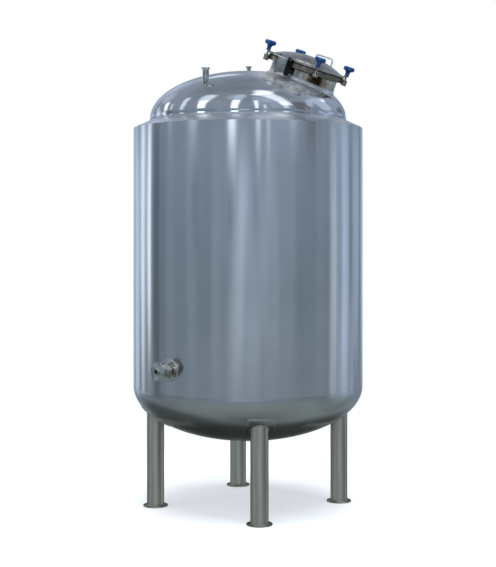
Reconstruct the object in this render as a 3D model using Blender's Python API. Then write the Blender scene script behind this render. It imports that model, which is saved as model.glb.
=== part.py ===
"""Vertical jacketed storage tank on four tubular legs.

A satin jacket surrounds a mirror polished inner vessel. The domed top carries a round hinged manway,
held shut by four swing bolts with star knobs, and two ferruled nozzles. A side nozzle sits low on the
jacket. Metres, +Z up, origin on the tank's axis at floor level. The front of the tank faces -Y.
"""

import math

import bmesh
import bpy
from mathutils import Matrix, Vector

# Gap kept between pieces that are welded together or rest on one another
GAP = 0.0003

# Jacket and inner vessel
JACKET_RADIUS = 0.700
JACKET_WALL = 0.003
JACKET_BOTTOM = 0.732
JACKET_TOP = 2.295
JACKET_HEAD_DEPTH = 0.330
VESSEL_RADIUS = 0.600
VESSEL_WALL = 0.004
VESSEL_BOTTOM = 0.800
VESSEL_HEAD_DEPTH = 0.260
SHOULDER_TOP = 2.343
SHOULDER_FOOT_WIDTH = 0.0065
SHOULDER_THICKNESS = 0.0033
TOP_HEAD_BOTTOM = 2.355
TOP_HEAD_RISE = 0.290
TANK_SEGMENTS = 56
HEAD_STEPS = 7
HIDDEN_HEAD_STEPS = 4

# How far a cutter runs on past what it cuts
CUT_MARGIN = 0.1

# Legs, their feet and the pads between leg and head
LEG_RADIUS = 0.052
LEG_WALL = 0.003
LEG_CIRCLE = 0.566
LEG_FIRST_AZIMUTH = math.radians(6.6)
LEG_SEGMENTS = 20
FOOT_RADIUS = 0.075
FOOT_THICKNESS = 0.008
PAD_HALF_WIDTH = 0.086
PAD_SQUARENESS = 6.0
PAD_THICKNESS = 0.004
PAD_RINGS = 5
PAD_SIDES = 32
PAD_GAP = 0.0010

# Manway: place and tilt on the top head
MANWAY_RADIUS = 0.365
MANWAY_AZIMUTH = math.radians(64.0)
MANWAY_HEIGHT = 2.590
MANWAY_TILT = math.radians(20.9)
MANWAY_SEGMENTS = 48

# Manway sizes: heights are measured along the manway's own axis
NECK_RADIUS = 0.203
NECK_WALL = 0.004
NECK_BOTTOM = -0.050
FRAME_RADIUS = 0.239
FRAME_BOTTOM = 0.045
FRAME_TOP = 0.073
FRAME_PLATE = 0.008
FRAME_SKIRT = 0.004
GASKET_INNER = 0.203
GASKET_OUTER = 0.231
LID_BOTTOM = 0.079
LID_RIM_THICKNESS = 0.011
LID_APEX = 0.140
LID_DISH_RADIUS = 0.215
LID_DISH_RINGS = [0.070, 0.135, 0.190]
LID_DISH_WALL = 0.0043
LID_TAB_RADIUS = 0.2465
LID_TAB_HALF_ANGLE = math.radians(5.2)
LID_TAB_STEP = math.radians(0.5)
LID_SEGMENTS = 44

# Lid handle: a bent rod that stands on the dish
HANDLE_AZIMUTH = math.radians(58.9)
HANDLE_RADIUS = 0.170
HANDLE_HALF_LENGTH = 0.060
HANDLE_HEIGHT = 0.052
HANDLE_BEND = 0.016
HANDLE_ROD = 0.005
HANDLE_SIDES = 8

# Hinge at the manway's edge
HINGE_AZIMUTH = math.radians(240.9)
HINGE_RADIUS = 0.270
HINGE_HEIGHT = 0.083
HINGE_PIN = 0.006
HINGE_BORE = 0.0063
HINGE_PIN_HEAD = 0.009
BRACKET_HALF_WIDTH = 0.036
BRACKET_CHEEK = 0.006
BRACKET_PLATE = 0.004
BRACKET_INNER = 0.2375
BRACKET_OUTER = 0.300
BRACKET_LOW = -0.012
BRACKET_HIGH = 0.097
BRACKET_INNER_CORNER = 0.028
BRACKET_OUTER_CORNER = 0.016
ARM_HALF_WIDTH = 0.0285
ARM_INNER = 0.2165
ARM_KNUCKLE = 0.012

# Swing bolts, their lugs and star knobs
BOLT_CIRCLE = 0.255
BOLT_AZIMUTHS = [math.radians(13.9 + 90 * k) for k in range(4)]
BOLT_PIVOT_HEIGHT = 0.045
BOLT_SHANK = 0.006
BOLT_SHANK_START = 0.008
BOLT_END = 0.118
BOLT_EYE = 0.011
BOLT_EYE_HALF_WIDTH = 0.006
BOLT_SIDES = 12
EYE_SIDES = 20
WASHER_RADIUS = 0.016
WASHER_THICKNESS = 0.005
LUG_HALF_WIDTH = 0.014
LUG_SLOT_HALF_WIDTH = 0.0075
LUG_BACK_PLATE = 0.0032
LUG_NOSE = 0.012
LUG_CORNER = 0.006
LUG_HIGH = 0.024
LUG_PIN = 0.005
LUG_BORE = 0.0053
LUG_PIN_HEAD = 0.008
LUG_PIN_HEAD_THICKNESS = 0.003
KNOB_HUB_LOW = 0.013
KNOB_HUB_HIGH = 0.0155
KNOB_LOBE = 0.035
KNOB_VALLEY = 0.025
KNOB_LOBES = 5
KNOB_WING_LOW = 0.031
KNOB_HEIGHT = 0.058
KNOB_EDGE = 0.006
KNOB_LOW_SCALE = 0.86
KNOB_TOP_SCALE = 0.82
KNOB_BORE = 0.0063
KNOB_SIDES = 30

# Nozzles on the top head: place, pipe radius, ferrule radius and top
NOZZLE_WALL = 0.0015
NOZZLE_LIP = 0.007
NOZZLE_LIP_FLARE = 0.004
NOZZLE_INSIDE = 0.030
NOZZLE_SEGMENTS = 20
LEFT_NOZZLE = {"x": -0.246, "y": -0.410, "pipe": 0.019, "ferrule": 0.02525, "top": 2.620}
BACK_NOZZLE = {"x": 0.005, "y": 0.280, "pipe": 0.0125, "ferrule": 0.020, "top": 2.717}

# Side nozzle, low on the left: distances are measured from the tank's axis
OUTLET_AZIMUTH = math.radians(-40.0)
OUTLET_HEIGHT = 0.875
OUTLET_RADIUS = 0.036
OUTLET_WALL = 0.0025
OUTLET_INSIDE = 0.590
OUTLET_PIPE_END = 0.788
OUTLET_COLLAR_RADIUS = 0.062
OUTLET_COLLAR_THICKNESS = 0.006
OUTLET_PLATE_RADIUS = 0.0535
OUTLET_PLATE_THICKNESS = 0.010
OUTLET_BOSS_RADIUS = 0.019
OUTLET_BOSS_LENGTH = 0.011
OUTLET_HOLE_RADIUS = 0.012
OUTLET_SEGMENTS = 28


def clear_scene():
    for obj in list(bpy.context.scene.objects):
        bpy.data.objects.remove(obj)


def make_material(name, colour, metallic, roughness):
    material = bpy.data.materials.new(name)
    material.use_nodes = True
    shader = material.node_tree.nodes["Principled BSDF"]
    shader.inputs["Base Color"].default_value = (*colour, 1.0)
    shader.inputs["Metallic"].default_value = metallic
    shader.inputs["Roughness"].default_value = roughness
    return material


def make_materials():
    return {
        "satin": make_material("satin_steel", (0.46, 0.48, 0.52), 1.0, 0.32),
        "mirror": make_material("mirror_steel", (0.62, 0.63, 0.66), 1.0, 0.06),
        "fitting": make_material("fitting_steel", (0.50, 0.50, 0.50), 1.0, 0.22),
        "plastic": make_material("blue_plastic", (0.01, 0.05, 0.26), 0.0, 0.35),
        "rubber": make_material("black_rubber", (0.02, 0.02, 0.02), 0.0, 0.70),
    }


def frame_matrix(origin, x_axis, y_axis, z_axis):
    """A placement whose local axes are the three given world directions."""
    rotation = Matrix((x_axis, y_axis, z_axis)).transposed()
    return Matrix.Translation(origin) @ rotation.to_4x4()


def manway_matrix():
    """The manway's frame: Z out along its axis, X to the right as seen from the front, Y to the back."""
    across = Vector((math.sin(MANWAY_AZIMUTH), -math.cos(MANWAY_AZIMUTH), 0.0))
    origin = across * MANWAY_RADIUS + Vector((0.0, 0.0, MANWAY_HEIGHT))
    z_axis = across * math.sin(MANWAY_TILT) + Vector((0.0, 0.0, math.cos(MANWAY_TILT)))
    x_axis = Vector((0.0, 1.0, 0.0)).cross(z_axis).normalized()
    return frame_matrix(origin, x_axis, z_axis.cross(x_axis), z_axis)


def on_manway(azimuth, radius, height):
    """A frame on the manway: X outward at the azimuth, Z along the manway's axis."""
    return manway_matrix() @ Matrix.Rotation(azimuth, 4, "Z") @ Matrix.Translation((radius, 0.0, height))


def outlet_matrix():
    """The side nozzle's frame: Z outward from the tank's axis, Y up."""
    outward = Vector((math.sin(OUTLET_AZIMUTH), -math.cos(OUTLET_AZIMUTH), 0.0))
    up = Vector((0.0, 0.0, 1.0))
    return frame_matrix(Vector((0.0, 0.0, OUTLET_HEIGHT)), up.cross(outward), up, outward)


def finish_mesh(name, bm):
    """Turns a closed bmesh into a mesh whose faces point out, smooth apart from its real edges."""
    bmesh.ops.recalc_face_normals(bm, faces=bm.faces)
    mesh = bpy.data.meshes.new(name)
    bm.to_mesh(mesh)
    bm.free()
    mesh.shade_smooth()
    mesh.set_sharp_from_angle(angle=math.radians(35))
    return mesh


def ring_mesh(name, rings, first_pole=None, last_pole=None):
    """A closed mesh through rings of equal length.

    Poles close the ends. Without them the last ring joins the first, as in a tube with a wall.
    """
    bm = bmesh.new()
    loops = [[bm.verts.new(point) for point in ring] for ring in rings]
    count = len(loops[0])
    pairs = list(zip(loops, loops[1:]))
    if first_pole is None:
        pairs.append((loops[-1], loops[0]))
    for low, high in pairs:
        for i in range(count):
            j = (i + 1) % count
            bm.faces.new((low[i], low[j], high[j], high[i]))
    if first_pole is not None:
        for pole, loop in ((first_pole, loops[0]), (last_pole, loops[-1])):
            tip = bm.verts.new(pole)
            for i in range(count):
                bm.faces.new((tip, loop[i], loop[(i + 1) % count]))
    return finish_mesh(name, bm)


def lathe(name, profile, segments):
    """Turns a (radius, height) profile about Z. Both its ends lie on the axis, or neither does."""
    rings = [
        [
            (
                radius * math.cos(2 * math.pi * i / segments),
                radius * math.sin(2 * math.pi * i / segments),
                height,
            )
            for i in range(segments)
        ]
        for radius, height in profile
        if radius > 0
    ]
    if profile[0][0] > 0:
        return ring_mesh(name, rings)
    return ring_mesh(name, rings, (0.0, 0.0, profile[0][1]), (0.0, 0.0, profile[-1][1]))


def prism(name, outline, half_width):
    """Extrudes an (x, z) outline along Y, evenly to both sides."""
    bm = bmesh.new()
    near = bm.faces.new([bm.verts.new((x, -half_width, z)) for x, z in outline])
    far = bmesh.ops.extrude_face_region(bm, geom=[near])["geom"]
    moved = [item for item in far if isinstance(item, bmesh.types.BMVert)]
    bmesh.ops.translate(bm, verts=moved, vec=(0.0, 2 * half_width, 0.0))
    return finish_mesh(name, bm)


def cross_pin(name, radius, half_length, segments, head_radius=0.0, head_thickness=0.0):
    """A pin along Y, with a flat head on each end where a head radius is given."""
    profile = [(radius, -half_length), (radius, half_length)]
    if head_radius:
        end = half_length + head_thickness
        profile = [(head_radius, -end), (head_radius, -half_length), *profile]
        profile += [(head_radius, half_length), (head_radius, end)]
    profile = [(0.0, profile[0][1]), *profile, (0.0, profile[-1][1])]
    mesh = lathe(name, profile, segments)
    mesh.transform(Matrix.Rotation(math.radians(90), 4, "X"))
    return mesh


def arc(centre, radius, start, end, steps):
    """Points on an arc from start to end, in degrees."""
    angles = [math.radians(start + (end - start) * i / steps) for i in range(steps + 1)]
    return [(centre[0] + radius * math.cos(a), centre[1] + radius * math.sin(a)) for a in angles]


def carved(name, base, joined=(), cuts=()):
    """One mesh made of the base and the joined meshes, less the cuts."""
    body = bpy.data.objects.new(name + "_body", base)
    bpy.context.scene.collection.objects.link(body)
    tools = []
    for operation, meshes in (("UNION", joined), ("DIFFERENCE", cuts)):
        for mesh in meshes:
            tool = bpy.data.objects.new(name + "_tool", mesh)
            bpy.context.scene.collection.objects.link(tool)
            boolean = body.modifiers.new(operation, "BOOLEAN")
            boolean.operation = operation
            boolean.object = tool
            tools.append(tool)
    shaped = bpy.data.meshes.new_from_object(body.evaluated_get(bpy.context.evaluated_depsgraph_get()))
    shaped.name = name
    for helper in (body, *tools):
        bpy.data.objects.remove(helper)
    return shaped


def add_object(name, mesh, material, matrix=None, parent=None):
    """Adds a mesh as an object. The matrix is its place in the world, also under a parent."""
    obj = bpy.data.objects.new(name, mesh)
    bpy.context.scene.collection.objects.link(obj)
    mesh.materials.clear()
    mesh.materials.append(material)
    world = matrix if matrix is not None else Matrix.Identity(4)
    if parent is not None:
        obj.parent = parent
        world = parent.matrix_world.inverted() @ world
    obj.matrix_basis = world
    return obj


def add_cutter(name, mesh, matrix):
    """Adds a guide that only cuts other pieces."""
    cutter = bpy.data.objects.new(name, mesh)
    bpy.context.scene.collection.objects.link(cutter)
    cutter.matrix_basis = matrix
    cutter.display_type = "WIRE"
    cutter.hide_render = True
    return cutter


def cut(obj, cutter):
    boolean = obj.modifiers.new("Cut " + cutter.name, "BOOLEAN")
    boolean.operation = "DIFFERENCE"
    boolean.object = cutter


def add_axis(name, matrix):
    """Adds an empty on a joint's axis, for the pieces that turn about it."""
    axis = bpy.data.objects.new(name, None)
    bpy.context.scene.collection.objects.link(axis)
    axis.matrix_basis = matrix
    bpy.context.view_layer.update()
    return axis


def rod_cutter(name, radius, low, high, matrix):
    """A round cutter along its frame's Z."""
    mesh = lathe(name, [(0.0, low), (radius, low), (radius, high), (0.0, high)], TANK_SEGMENTS)
    return add_cutter(name, mesh, matrix)


def head_profile(radius, bottom, depth, wall, upward, steps=HEAD_STEPS):
    """A half-ellipsoid shell's profile, from the outer pole round its rim to the inner pole."""
    sign = 1 if upward else -1
    turns = [math.pi / 2 * i / steps for i in range(steps + 1)]
    outer = [(radius * math.sin(t), bottom + sign * depth * math.cos(t)) for t in turns]
    inner = [((radius - wall) * math.sin(t), bottom + sign * (depth - wall) * math.cos(t)) for t in turns]
    return outer + inner[::-1]


def jacket_head_height(radius, offset):
    """The height of the jacket's bottom head, or of a surface that far outside it, at a radius."""
    across = radius / (JACKET_RADIUS + offset)
    return JACKET_BOTTOM - (JACKET_HEAD_DEPTH + offset) * math.sqrt(1 - across * across)


def add_shells(materials):
    """The jacket, the inner vessel and the top head. Returns those that nozzles pass through."""
    inside = JACKET_RADIUS - JACKET_WALL
    tube = [(JACKET_RADIUS, JACKET_BOTTOM), (JACKET_RADIUS, JACKET_TOP)]
    tube += [(inside, JACKET_TOP), (inside, JACKET_BOTTOM)]
    jacket = add_object("jacket_wall", lathe("jacket_wall", tube, TANK_SEGMENTS), materials["satin"])
    dish = head_profile(JACKET_RADIUS, JACKET_BOTTOM - GAP, JACKET_HEAD_DEPTH, JACKET_WALL, False)
    add_object("jacket_bottom_head", lathe("jacket_bottom_head", dish, TANK_SEGMENTS), materials["satin"])
    foot = JACKET_TOP + GAP
    bore = VESSEL_RADIUS + GAP
    cone = [
        (JACKET_RADIUS, foot),
        (bore, SHOULDER_TOP),
        (bore, SHOULDER_TOP - SHOULDER_THICKNESS),
        (JACKET_RADIUS - SHOULDER_FOOT_WIDTH, foot),
    ]
    add_object("jacket_shoulder", lathe("jacket_shoulder", cone, TANK_SEGMENTS), materials["satin"])

    inside = VESSEL_RADIUS - VESSEL_WALL
    top = TOP_HEAD_BOTTOM - GAP
    tube = [(VESSEL_RADIUS, VESSEL_BOTTOM), (VESSEL_RADIUS, top), (inside, top), (inside, VESSEL_BOTTOM)]
    vessel = add_object("vessel_wall", lathe("vessel_wall", tube, TANK_SEGMENTS), materials["mirror"])
    floor = VESSEL_BOTTOM - GAP
    dish = head_profile(VESSEL_RADIUS, floor, VESSEL_HEAD_DEPTH, VESSEL_WALL, False, HIDDEN_HEAD_STEPS)
    add_object("vessel_bottom_head", lathe("vessel_bottom_head", dish, TANK_SEGMENTS), materials["mirror"])
    dome = head_profile(VESSEL_RADIUS, TOP_HEAD_BOTTOM, TOP_HEAD_RISE, VESSEL_WALL, True)
    head = add_object("top_head", lathe("top_head", dome, TANK_SEGMENTS), materials["mirror"])
    return jacket, vessel, head


def leg_mesh(x, y):
    """A leg's tube, its top cut to lie under the pad. Heights are above the floor."""
    top_offset = PAD_GAP + PAD_THICKNESS + GAP
    inside = LEG_RADIUS - LEG_WALL
    rings = []
    for radius, at_top in ((LEG_RADIUS, False), (LEG_RADIUS, True), (inside, True), (inside, False)):
        ring = []
        for i in range(LEG_SEGMENTS):
            turn = 2 * math.pi * i / LEG_SEGMENTS
            dx = radius * math.cos(turn)
            dy = radius * math.sin(turn)
            height = FOOT_THICKNESS + GAP
            if at_top:
                height = jacket_head_height(math.hypot(x + dx, y + dy), top_offset)
            ring.append((dx, dy, height))
        rings.append(ring)
    return ring_mesh("leg", rings)


def pad_mesh(x, y):
    """A square plate with round corners that lies against the bottom head over a leg, facing outward."""
    facing = math.atan2(y, x)
    power = PAD_SQUARENESS
    surfaces = []
    for offset in (PAD_GAP + PAD_THICKNESS, PAD_GAP):
        rings = []
        for k in range(1, PAD_RINGS + 1):
            ring = []
            for i in range(PAD_SIDES):
                turn = 2 * math.pi * i / PAD_SIDES
                square = (abs(math.cos(turn)) ** power + abs(math.sin(turn)) ** power) ** (1 / power)
                radius = PAD_HALF_WIDTH / square * k / PAD_RINGS
                dx = radius * math.cos(turn + facing)
                dy = radius * math.sin(turn + facing)
                ring.append((dx, dy, jacket_head_height(math.hypot(x + dx, y + dy), offset)))
            rings.append(ring)
        pole = (0.0, 0.0, jacket_head_height(math.hypot(x, y), offset))
        surfaces.append((pole, rings))
    (low_pole, low), (high_pole, high) = surfaces
    return ring_mesh("pad", low + high[::-1], low_pole, high_pole)


def add_legs(materials):
    foot = lathe(
        "foot",
        [(0.0, 0.0), (FOOT_RADIUS, 0.0), (FOOT_RADIUS, FOOT_THICKNESS), (0.0, FOOT_THICKNESS)],
        LEG_SEGMENTS,
    )
    for k in range(4):
        azimuth = LEG_FIRST_AZIMUTH + math.radians(90) * k
        x = LEG_CIRCLE * math.sin(azimuth)
        y = -LEG_CIRCLE * math.cos(azimuth)
        place = Matrix.Translation((x, y, 0.0))
        add_object(f"leg_{k + 1}", leg_mesh(x, y), materials["satin"], place)
        add_object(f"leg_pad_{k + 1}", pad_mesh(x, y), materials["satin"], place)
        add_object(f"foot_plate_{k + 1}", foot, materials["satin"], place)


def add_manway_base(materials):
    """The neck, the frame on it and the gasket. Returns the neck's cutter for the top head."""
    place = manway_matrix()
    inside = NECK_RADIUS - NECK_WALL
    plate = FRAME_TOP - FRAME_PLATE
    top = plate - GAP
    neck = [(NECK_RADIUS, NECK_BOTTOM), (NECK_RADIUS, top), (inside, top), (inside, NECK_BOTTOM)]
    add_object("manway_neck", lathe("manway_neck", neck, MANWAY_SEGMENTS), materials["fitting"], place)
    frame = [
        (inside, FRAME_TOP),
        (inside, plate),
        (FRAME_RADIUS - FRAME_SKIRT, plate),
        (FRAME_RADIUS - FRAME_SKIRT, FRAME_BOTTOM),
        (FRAME_RADIUS, FRAME_BOTTOM),
        (FRAME_RADIUS, FRAME_TOP),
    ]
    add_object("manway_frame", lathe("manway_frame", frame, MANWAY_SEGMENTS), materials["fitting"], place)
    low = FRAME_TOP + GAP
    high = LID_BOTTOM - GAP
    ring = [(GASKET_INNER, low), (GASKET_INNER, high), (GASKET_OUTER, high), (GASKET_OUTER, low)]
    add_object("manway_gasket", lathe("manway_gasket", ring, MANWAY_SEGMENTS), materials["rubber"], place)
    return rod_cutter(
        "neck_cutter", NECK_RADIUS + 2 * GAP, NECK_BOTTOM - CUT_MARGIN, FRAME_TOP + CUT_MARGIN, place
    )


def dish_height(radius):
    """The height of the lid's dish at a radius: part of a sphere that meets the rim's top face."""
    rise = LID_APEX - LID_BOTTOM - LID_RIM_THICKNESS
    sphere = (LID_DISH_RADIUS ** 2 + rise ** 2) / (2 * rise)
    return LID_APEX - sphere + math.sqrt(sphere ** 2 - radius ** 2)


def lid_outline():
    """(angle, rim radius) pairs: the rim, with a tab that each swing bolt's washer bears on."""
    corner = LID_TAB_HALF_ANGLE + LID_TAB_STEP
    points = []
    for azimuth in BOLT_AZIMUTHS:
        points += [(azimuth - corner, FRAME_RADIUS), (azimuth + corner, FRAME_RADIUS)]
        points += [(azimuth + LID_TAB_HALF_ANGLE * k / 2, LID_TAB_RADIUS) for k in range(-2, 3)]
    for i in range(LID_SEGMENTS):
        angle = BOLT_AZIMUTHS[0] + 2 * math.pi * (i + 0.5) / LID_SEGMENTS
        nearest = min(abs(math.remainder(angle - azimuth, 2 * math.pi)) for azimuth in BOLT_AZIMUTHS)
        if nearest > corner + math.radians(1):
            points.append((angle, FRAME_RADIUS))
    turn = 2 * math.pi
    return sorted((angle % turn, radius) for angle, radius in points)


def lid_mesh():
    outline = lid_outline()
    top = LID_BOTTOM + LID_RIM_THICKNESS
    neck_inside = NECK_RADIUS - NECK_WALL
    chain = [(radius, dish_height(radius)) for radius in (*LID_DISH_RINGS, LID_DISH_RADIUS)]
    chain += [(None, top), (None, LID_BOTTOM), (neck_inside, LID_BOTTOM)]
    chain += [(radius, dish_height(radius) - LID_DISH_WALL) for radius in LID_DISH_RINGS[::-1]]
    rings = []
    for radius, height in chain:
        ring = []
        for angle, rim in outline:
            reach = rim if radius is None else radius
            ring.append((reach * math.cos(angle), reach * math.sin(angle), height))
        rings.append(ring)
    return ring_mesh("manway_lid", rings, (0.0, 0.0, LID_APEX), (0.0, 0.0, LID_APEX - LID_DISH_WALL))


def handle_mesh():
    """A rod bent into a flat-topped loop along the rim's direction, its feet shaped to the dish."""
    seat = dish_height(HANDLE_RADIUS)
    bend = HANDLE_HALF_LENGTH - HANDLE_BEND
    high = seat + HANDLE_HEIGHT - HANDLE_BEND
    route = [(HANDLE_HALF_LENGTH, seat)]
    route += arc((bend, high), HANDLE_BEND, 0, 90, 4)
    route += arc((-bend, high), HANDLE_BEND, 90, 180, 4)
    route += [(-HANDLE_HALF_LENGTH, seat)]
    rings = []
    for k, (along, height) in enumerate(route):
        before = route[max(k - 1, 0)]
        after = route[min(k + 1, len(route) - 1)]
        forward = Vector((0.0, after[0] - before[0], after[1] - before[1])).normalized()
        side = Vector((1.0, 0.0, 0.0))
        across = forward.cross(side)
        ring = []
        for i in range(HANDLE_SIDES):
            turn = 2 * math.pi * i / HANDLE_SIDES
            reach = side * math.cos(turn) + across * math.sin(turn)
            point = Vector((HANDLE_RADIUS, along, height)) + reach * HANDLE_ROD
            if k in (0, len(route) - 1):
                point.z = dish_height(math.hypot(point.x, point.y)) + 2 * GAP
            ring.append(point)
        rings.append(ring)
    ends = []
    for along in (HANDLE_HALF_LENGTH, -HANDLE_HALF_LENGTH):
        ends.append((HANDLE_RADIUS, along, dish_height(math.hypot(HANDLE_RADIUS, along)) + 2 * GAP))
    return ring_mesh("lid_handle", rings, ends[0], ends[1])


def arm_mesh():
    """The strap on the lid's rim, ending in a knuckle round the hinge pin. Local to the hinge's axis."""
    low = LID_BOTTOM + LID_RIM_THICKNESS + GAP - HINGE_HEIGHT
    inner = ARM_INNER - HINGE_RADIUS
    meets = math.degrees(math.asin(low / ARM_KNUCKLE))
    outline = [(inner, ARM_KNUCKLE), (inner, low)]
    outline += arc((0.0, 0.0), ARM_KNUCKLE, 180 - meets, 450, 10)
    bore = cross_pin("bore", HINGE_BORE, 2 * ARM_HALF_WIDTH, BOLT_SIDES)
    return carved("lid_hinge_arm", prism("arm", outline, ARM_HALF_WIDTH), cuts=[bore])


def bracket_mesh():
    """A folded bracket: two round-ended cheeks and the plate that joins them. Local to the hinge's axis."""
    inner = BRACKET_INNER - HINGE_RADIUS
    outer = BRACKET_OUTER - HINGE_RADIUS
    low = BRACKET_LOW - HINGE_HEIGHT
    high = BRACKET_HIGH - HINGE_HEIGHT
    big = BRACKET_INNER_CORNER
    small = BRACKET_OUTER_CORNER
    outline = arc((inner + big, low + big), big, 180, 270, 6)
    outline += arc((outer - small, low + small), small, 270, 360, 4)
    outline += arc((outer - small, high - small), small, 0, 90, 4)
    outline += arc((inner + big, high - big), big, 90, 180, 6)
    half = BRACKET_HALF_WIDTH - BRACKET_CHEEK
    wall = outer - BRACKET_PLATE
    far = inner - CUT_MARGIN
    room = [(far, low - CUT_MARGIN), (wall, low - CUT_MARGIN)]
    room += [(wall, high + CUT_MARGIN), (far, high + CUT_MARGIN)]
    bore = cross_pin("bore", HINGE_BORE, 2 * BRACKET_HALF_WIDTH, BOLT_SIDES)
    block = prism("bracket", outline, BRACKET_HALF_WIDTH)
    return carved("hinge_bracket", block, cuts=[prism("room", room, half), bore])


def add_lid(materials):
    """The lid, its handle and its hinge. The lid's pieces hang on an empty on the hinge's axis."""
    place = manway_matrix()
    hinge = on_manway(HINGE_AZIMUTH, HINGE_RADIUS, HINGE_HEIGHT)
    axis = add_axis("lid_hinge_axis", hinge)
    turned = place @ Matrix.Rotation(HANDLE_AZIMUTH, 4, "Z")
    add_object("manway_lid", lid_mesh(), materials["fitting"], place, axis)
    add_object("lid_handle", handle_mesh(), materials["fitting"], turned, axis)
    add_object("lid_hinge_arm", arm_mesh(), materials["fitting"], hinge, axis)
    add_object("hinge_bracket", bracket_mesh(), materials["fitting"], hinge)
    half = BRACKET_HALF_WIDTH + GAP
    pin = cross_pin("hinge_pin", HINGE_PIN, half, BOLT_SIDES, HINGE_PIN_HEAD, LUG_PIN_HEAD_THICKNESS)
    add_object("hinge_pin", pin, materials["fitting"], hinge)


def bolt_mesh():
    """An eye bolt with the washer that clamps the lid. Local to its pivot."""
    low = LID_BOTTOM + LID_RIM_THICKNESS + GAP - BOLT_PIVOT_HEIGHT
    high = low + WASHER_THICKNESS
    end = BOLT_END - BOLT_PIVOT_HEIGHT
    profile = [
        (0.0, BOLT_SHANK_START),
        (BOLT_SHANK, BOLT_SHANK_START),
        (BOLT_SHANK, low),
        (WASHER_RADIUS, low),
        (WASHER_RADIUS, high),
        (BOLT_SHANK, high),
        (BOLT_SHANK, end),
        (0.0, end),
    ]
    eye = cross_pin("eye", BOLT_EYE, BOLT_EYE_HALF_WIDTH, EYE_SIDES)
    bore = cross_pin("bore", LUG_BORE, 2 * BOLT_EYE_HALF_WIDTH, BOLT_SIDES)
    return carved("swing_bolt", lathe("shank", profile, BOLT_SIDES), joined=[eye], cuts=[bore])


def lug_mesh():
    """A forked lug on the frame's skirt that holds a bolt's pivot pin. Local to the pivot."""
    back = FRAME_RADIUS + GAP - BOLT_CIRCLE
    outline = [(back, LUG_HIGH), (back, -LUG_NOSE / 2)]
    outline += arc((0.0, 0.0), LUG_NOSE, 210, 360, 5)
    outline += [(LUG_NOSE, LUG_HIGH - LUG_CORNER), (LUG_NOSE - LUG_CORNER, LUG_HIGH)]
    inner = back + LUG_BACK_PLATE
    slot = [(inner, -CUT_MARGIN), (CUT_MARGIN, -CUT_MARGIN), (CUT_MARGIN, CUT_MARGIN), (inner, CUT_MARGIN)]
    bore = cross_pin("bore", LUG_BORE, 2 * LUG_HALF_WIDTH, BOLT_SIDES)
    block = prism("lug", outline, LUG_HALF_WIDTH)
    return carved("bolt_lug", block, cuts=[prism("slot", slot, LUG_SLOT_HALF_WIDTH), bore])


def knob_ring(scale, height):
    """One ring of the star, its lobes drawn in by the scale. A lobe points outward along X."""
    ring = []
    for i in range(KNOB_SIDES):
        turn = 2 * math.pi * i / KNOB_SIDES
        swell = (1 + math.cos(KNOB_LOBES * turn)) / 2
        radius = scale * (KNOB_VALLEY + (KNOB_LOBE - KNOB_VALLEY) * swell)
        ring.append((radius * math.cos(turn), radius * math.sin(turn), height))
    return ring


def round_ring(radius, height):
    turns = [2 * math.pi * i / KNOB_SIDES for i in range(KNOB_SIDES)]
    return [(radius * math.cos(turn), radius * math.sin(turn), height) for turn in turns]


def knob_mesh():
    """A star knob with a blind bore for its bolt. Local to its lower face."""
    washer_top = LID_BOTTOM + LID_RIM_THICKNESS + GAP + WASHER_THICKNESS
    bore_end = BOLT_END - washer_top + GAP
    rings = [
        round_ring(KNOB_BORE, bore_end),
        round_ring(KNOB_BORE, 0.0),
        round_ring(KNOB_HUB_LOW, 0.0),
        round_ring(KNOB_HUB_HIGH, KNOB_WING_LOW),
        knob_ring(KNOB_LOW_SCALE, KNOB_WING_LOW),
        knob_ring(1.0, KNOB_WING_LOW + KNOB_EDGE),
        knob_ring(1.0, KNOB_HEIGHT - KNOB_EDGE),
        knob_ring(KNOB_TOP_SCALE, KNOB_HEIGHT),
    ]
    return ring_mesh("knob", rings, (0.0, 0.0, bore_end), (0.0, 0.0, KNOB_HEIGHT))


def add_bolts(materials):
    """Four swing bolts. Each turns about its lug's pin, and each knob about its bolt."""
    lug = lug_mesh()
    pin = cross_pin(
        "lug_pin", LUG_PIN, LUG_HALF_WIDTH + GAP, BOLT_SIDES, LUG_PIN_HEAD, LUG_PIN_HEAD_THICKNESS
    )
    bolt = bolt_mesh()
    knob = knob_mesh()
    knob_base = LID_BOTTOM + LID_RIM_THICKNESS + WASHER_THICKNESS + 2 * GAP
    for k, azimuth in enumerate(BOLT_AZIMUTHS):
        pivot = on_manway(azimuth, BOLT_CIRCLE, BOLT_PIVOT_HEIGHT)
        add_object(f"bolt_lug_{k + 1}", lug, materials["fitting"], pivot)
        add_object(f"lug_pin_{k + 1}", pin, materials["fitting"], pivot)
        add_object(f"swing_bolt_{k + 1}", bolt, materials["fitting"], pivot)
        base = on_manway(azimuth, BOLT_CIRCLE, knob_base)
        add_object(f"knob_{k + 1}", knob, materials["plastic"], base)


def add_top_nozzle(name, nozzle, head, materials):
    """A ferruled pipe through the top head."""
    pipe = nozzle["pipe"]
    ferrule = nozzle["ferrule"]
    top = nozzle["top"]
    across = math.hypot(nozzle["x"], nozzle["y"]) / VESSEL_RADIUS
    low = TOP_HEAD_BOTTOM + TOP_HEAD_RISE * math.sqrt(1 - across * across) - NOZZLE_INSIDE
    inside = pipe - NOZZLE_WALL
    profile = [
        (pipe, low),
        (pipe, top - NOZZLE_LIP - NOZZLE_LIP_FLARE),
        (ferrule, top - NOZZLE_LIP),
        (ferrule, top),
        (inside, top),
        (inside, low),
    ]
    place = Matrix.Translation((nozzle["x"], nozzle["y"], 0.0))
    add_object(name, lathe(name, profile, NOZZLE_SEGMENTS), materials["fitting"], place)
    cut(head, rod_cutter(name + "_cutter", pipe + 2 * GAP, low - CUT_MARGIN, top, place))


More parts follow.
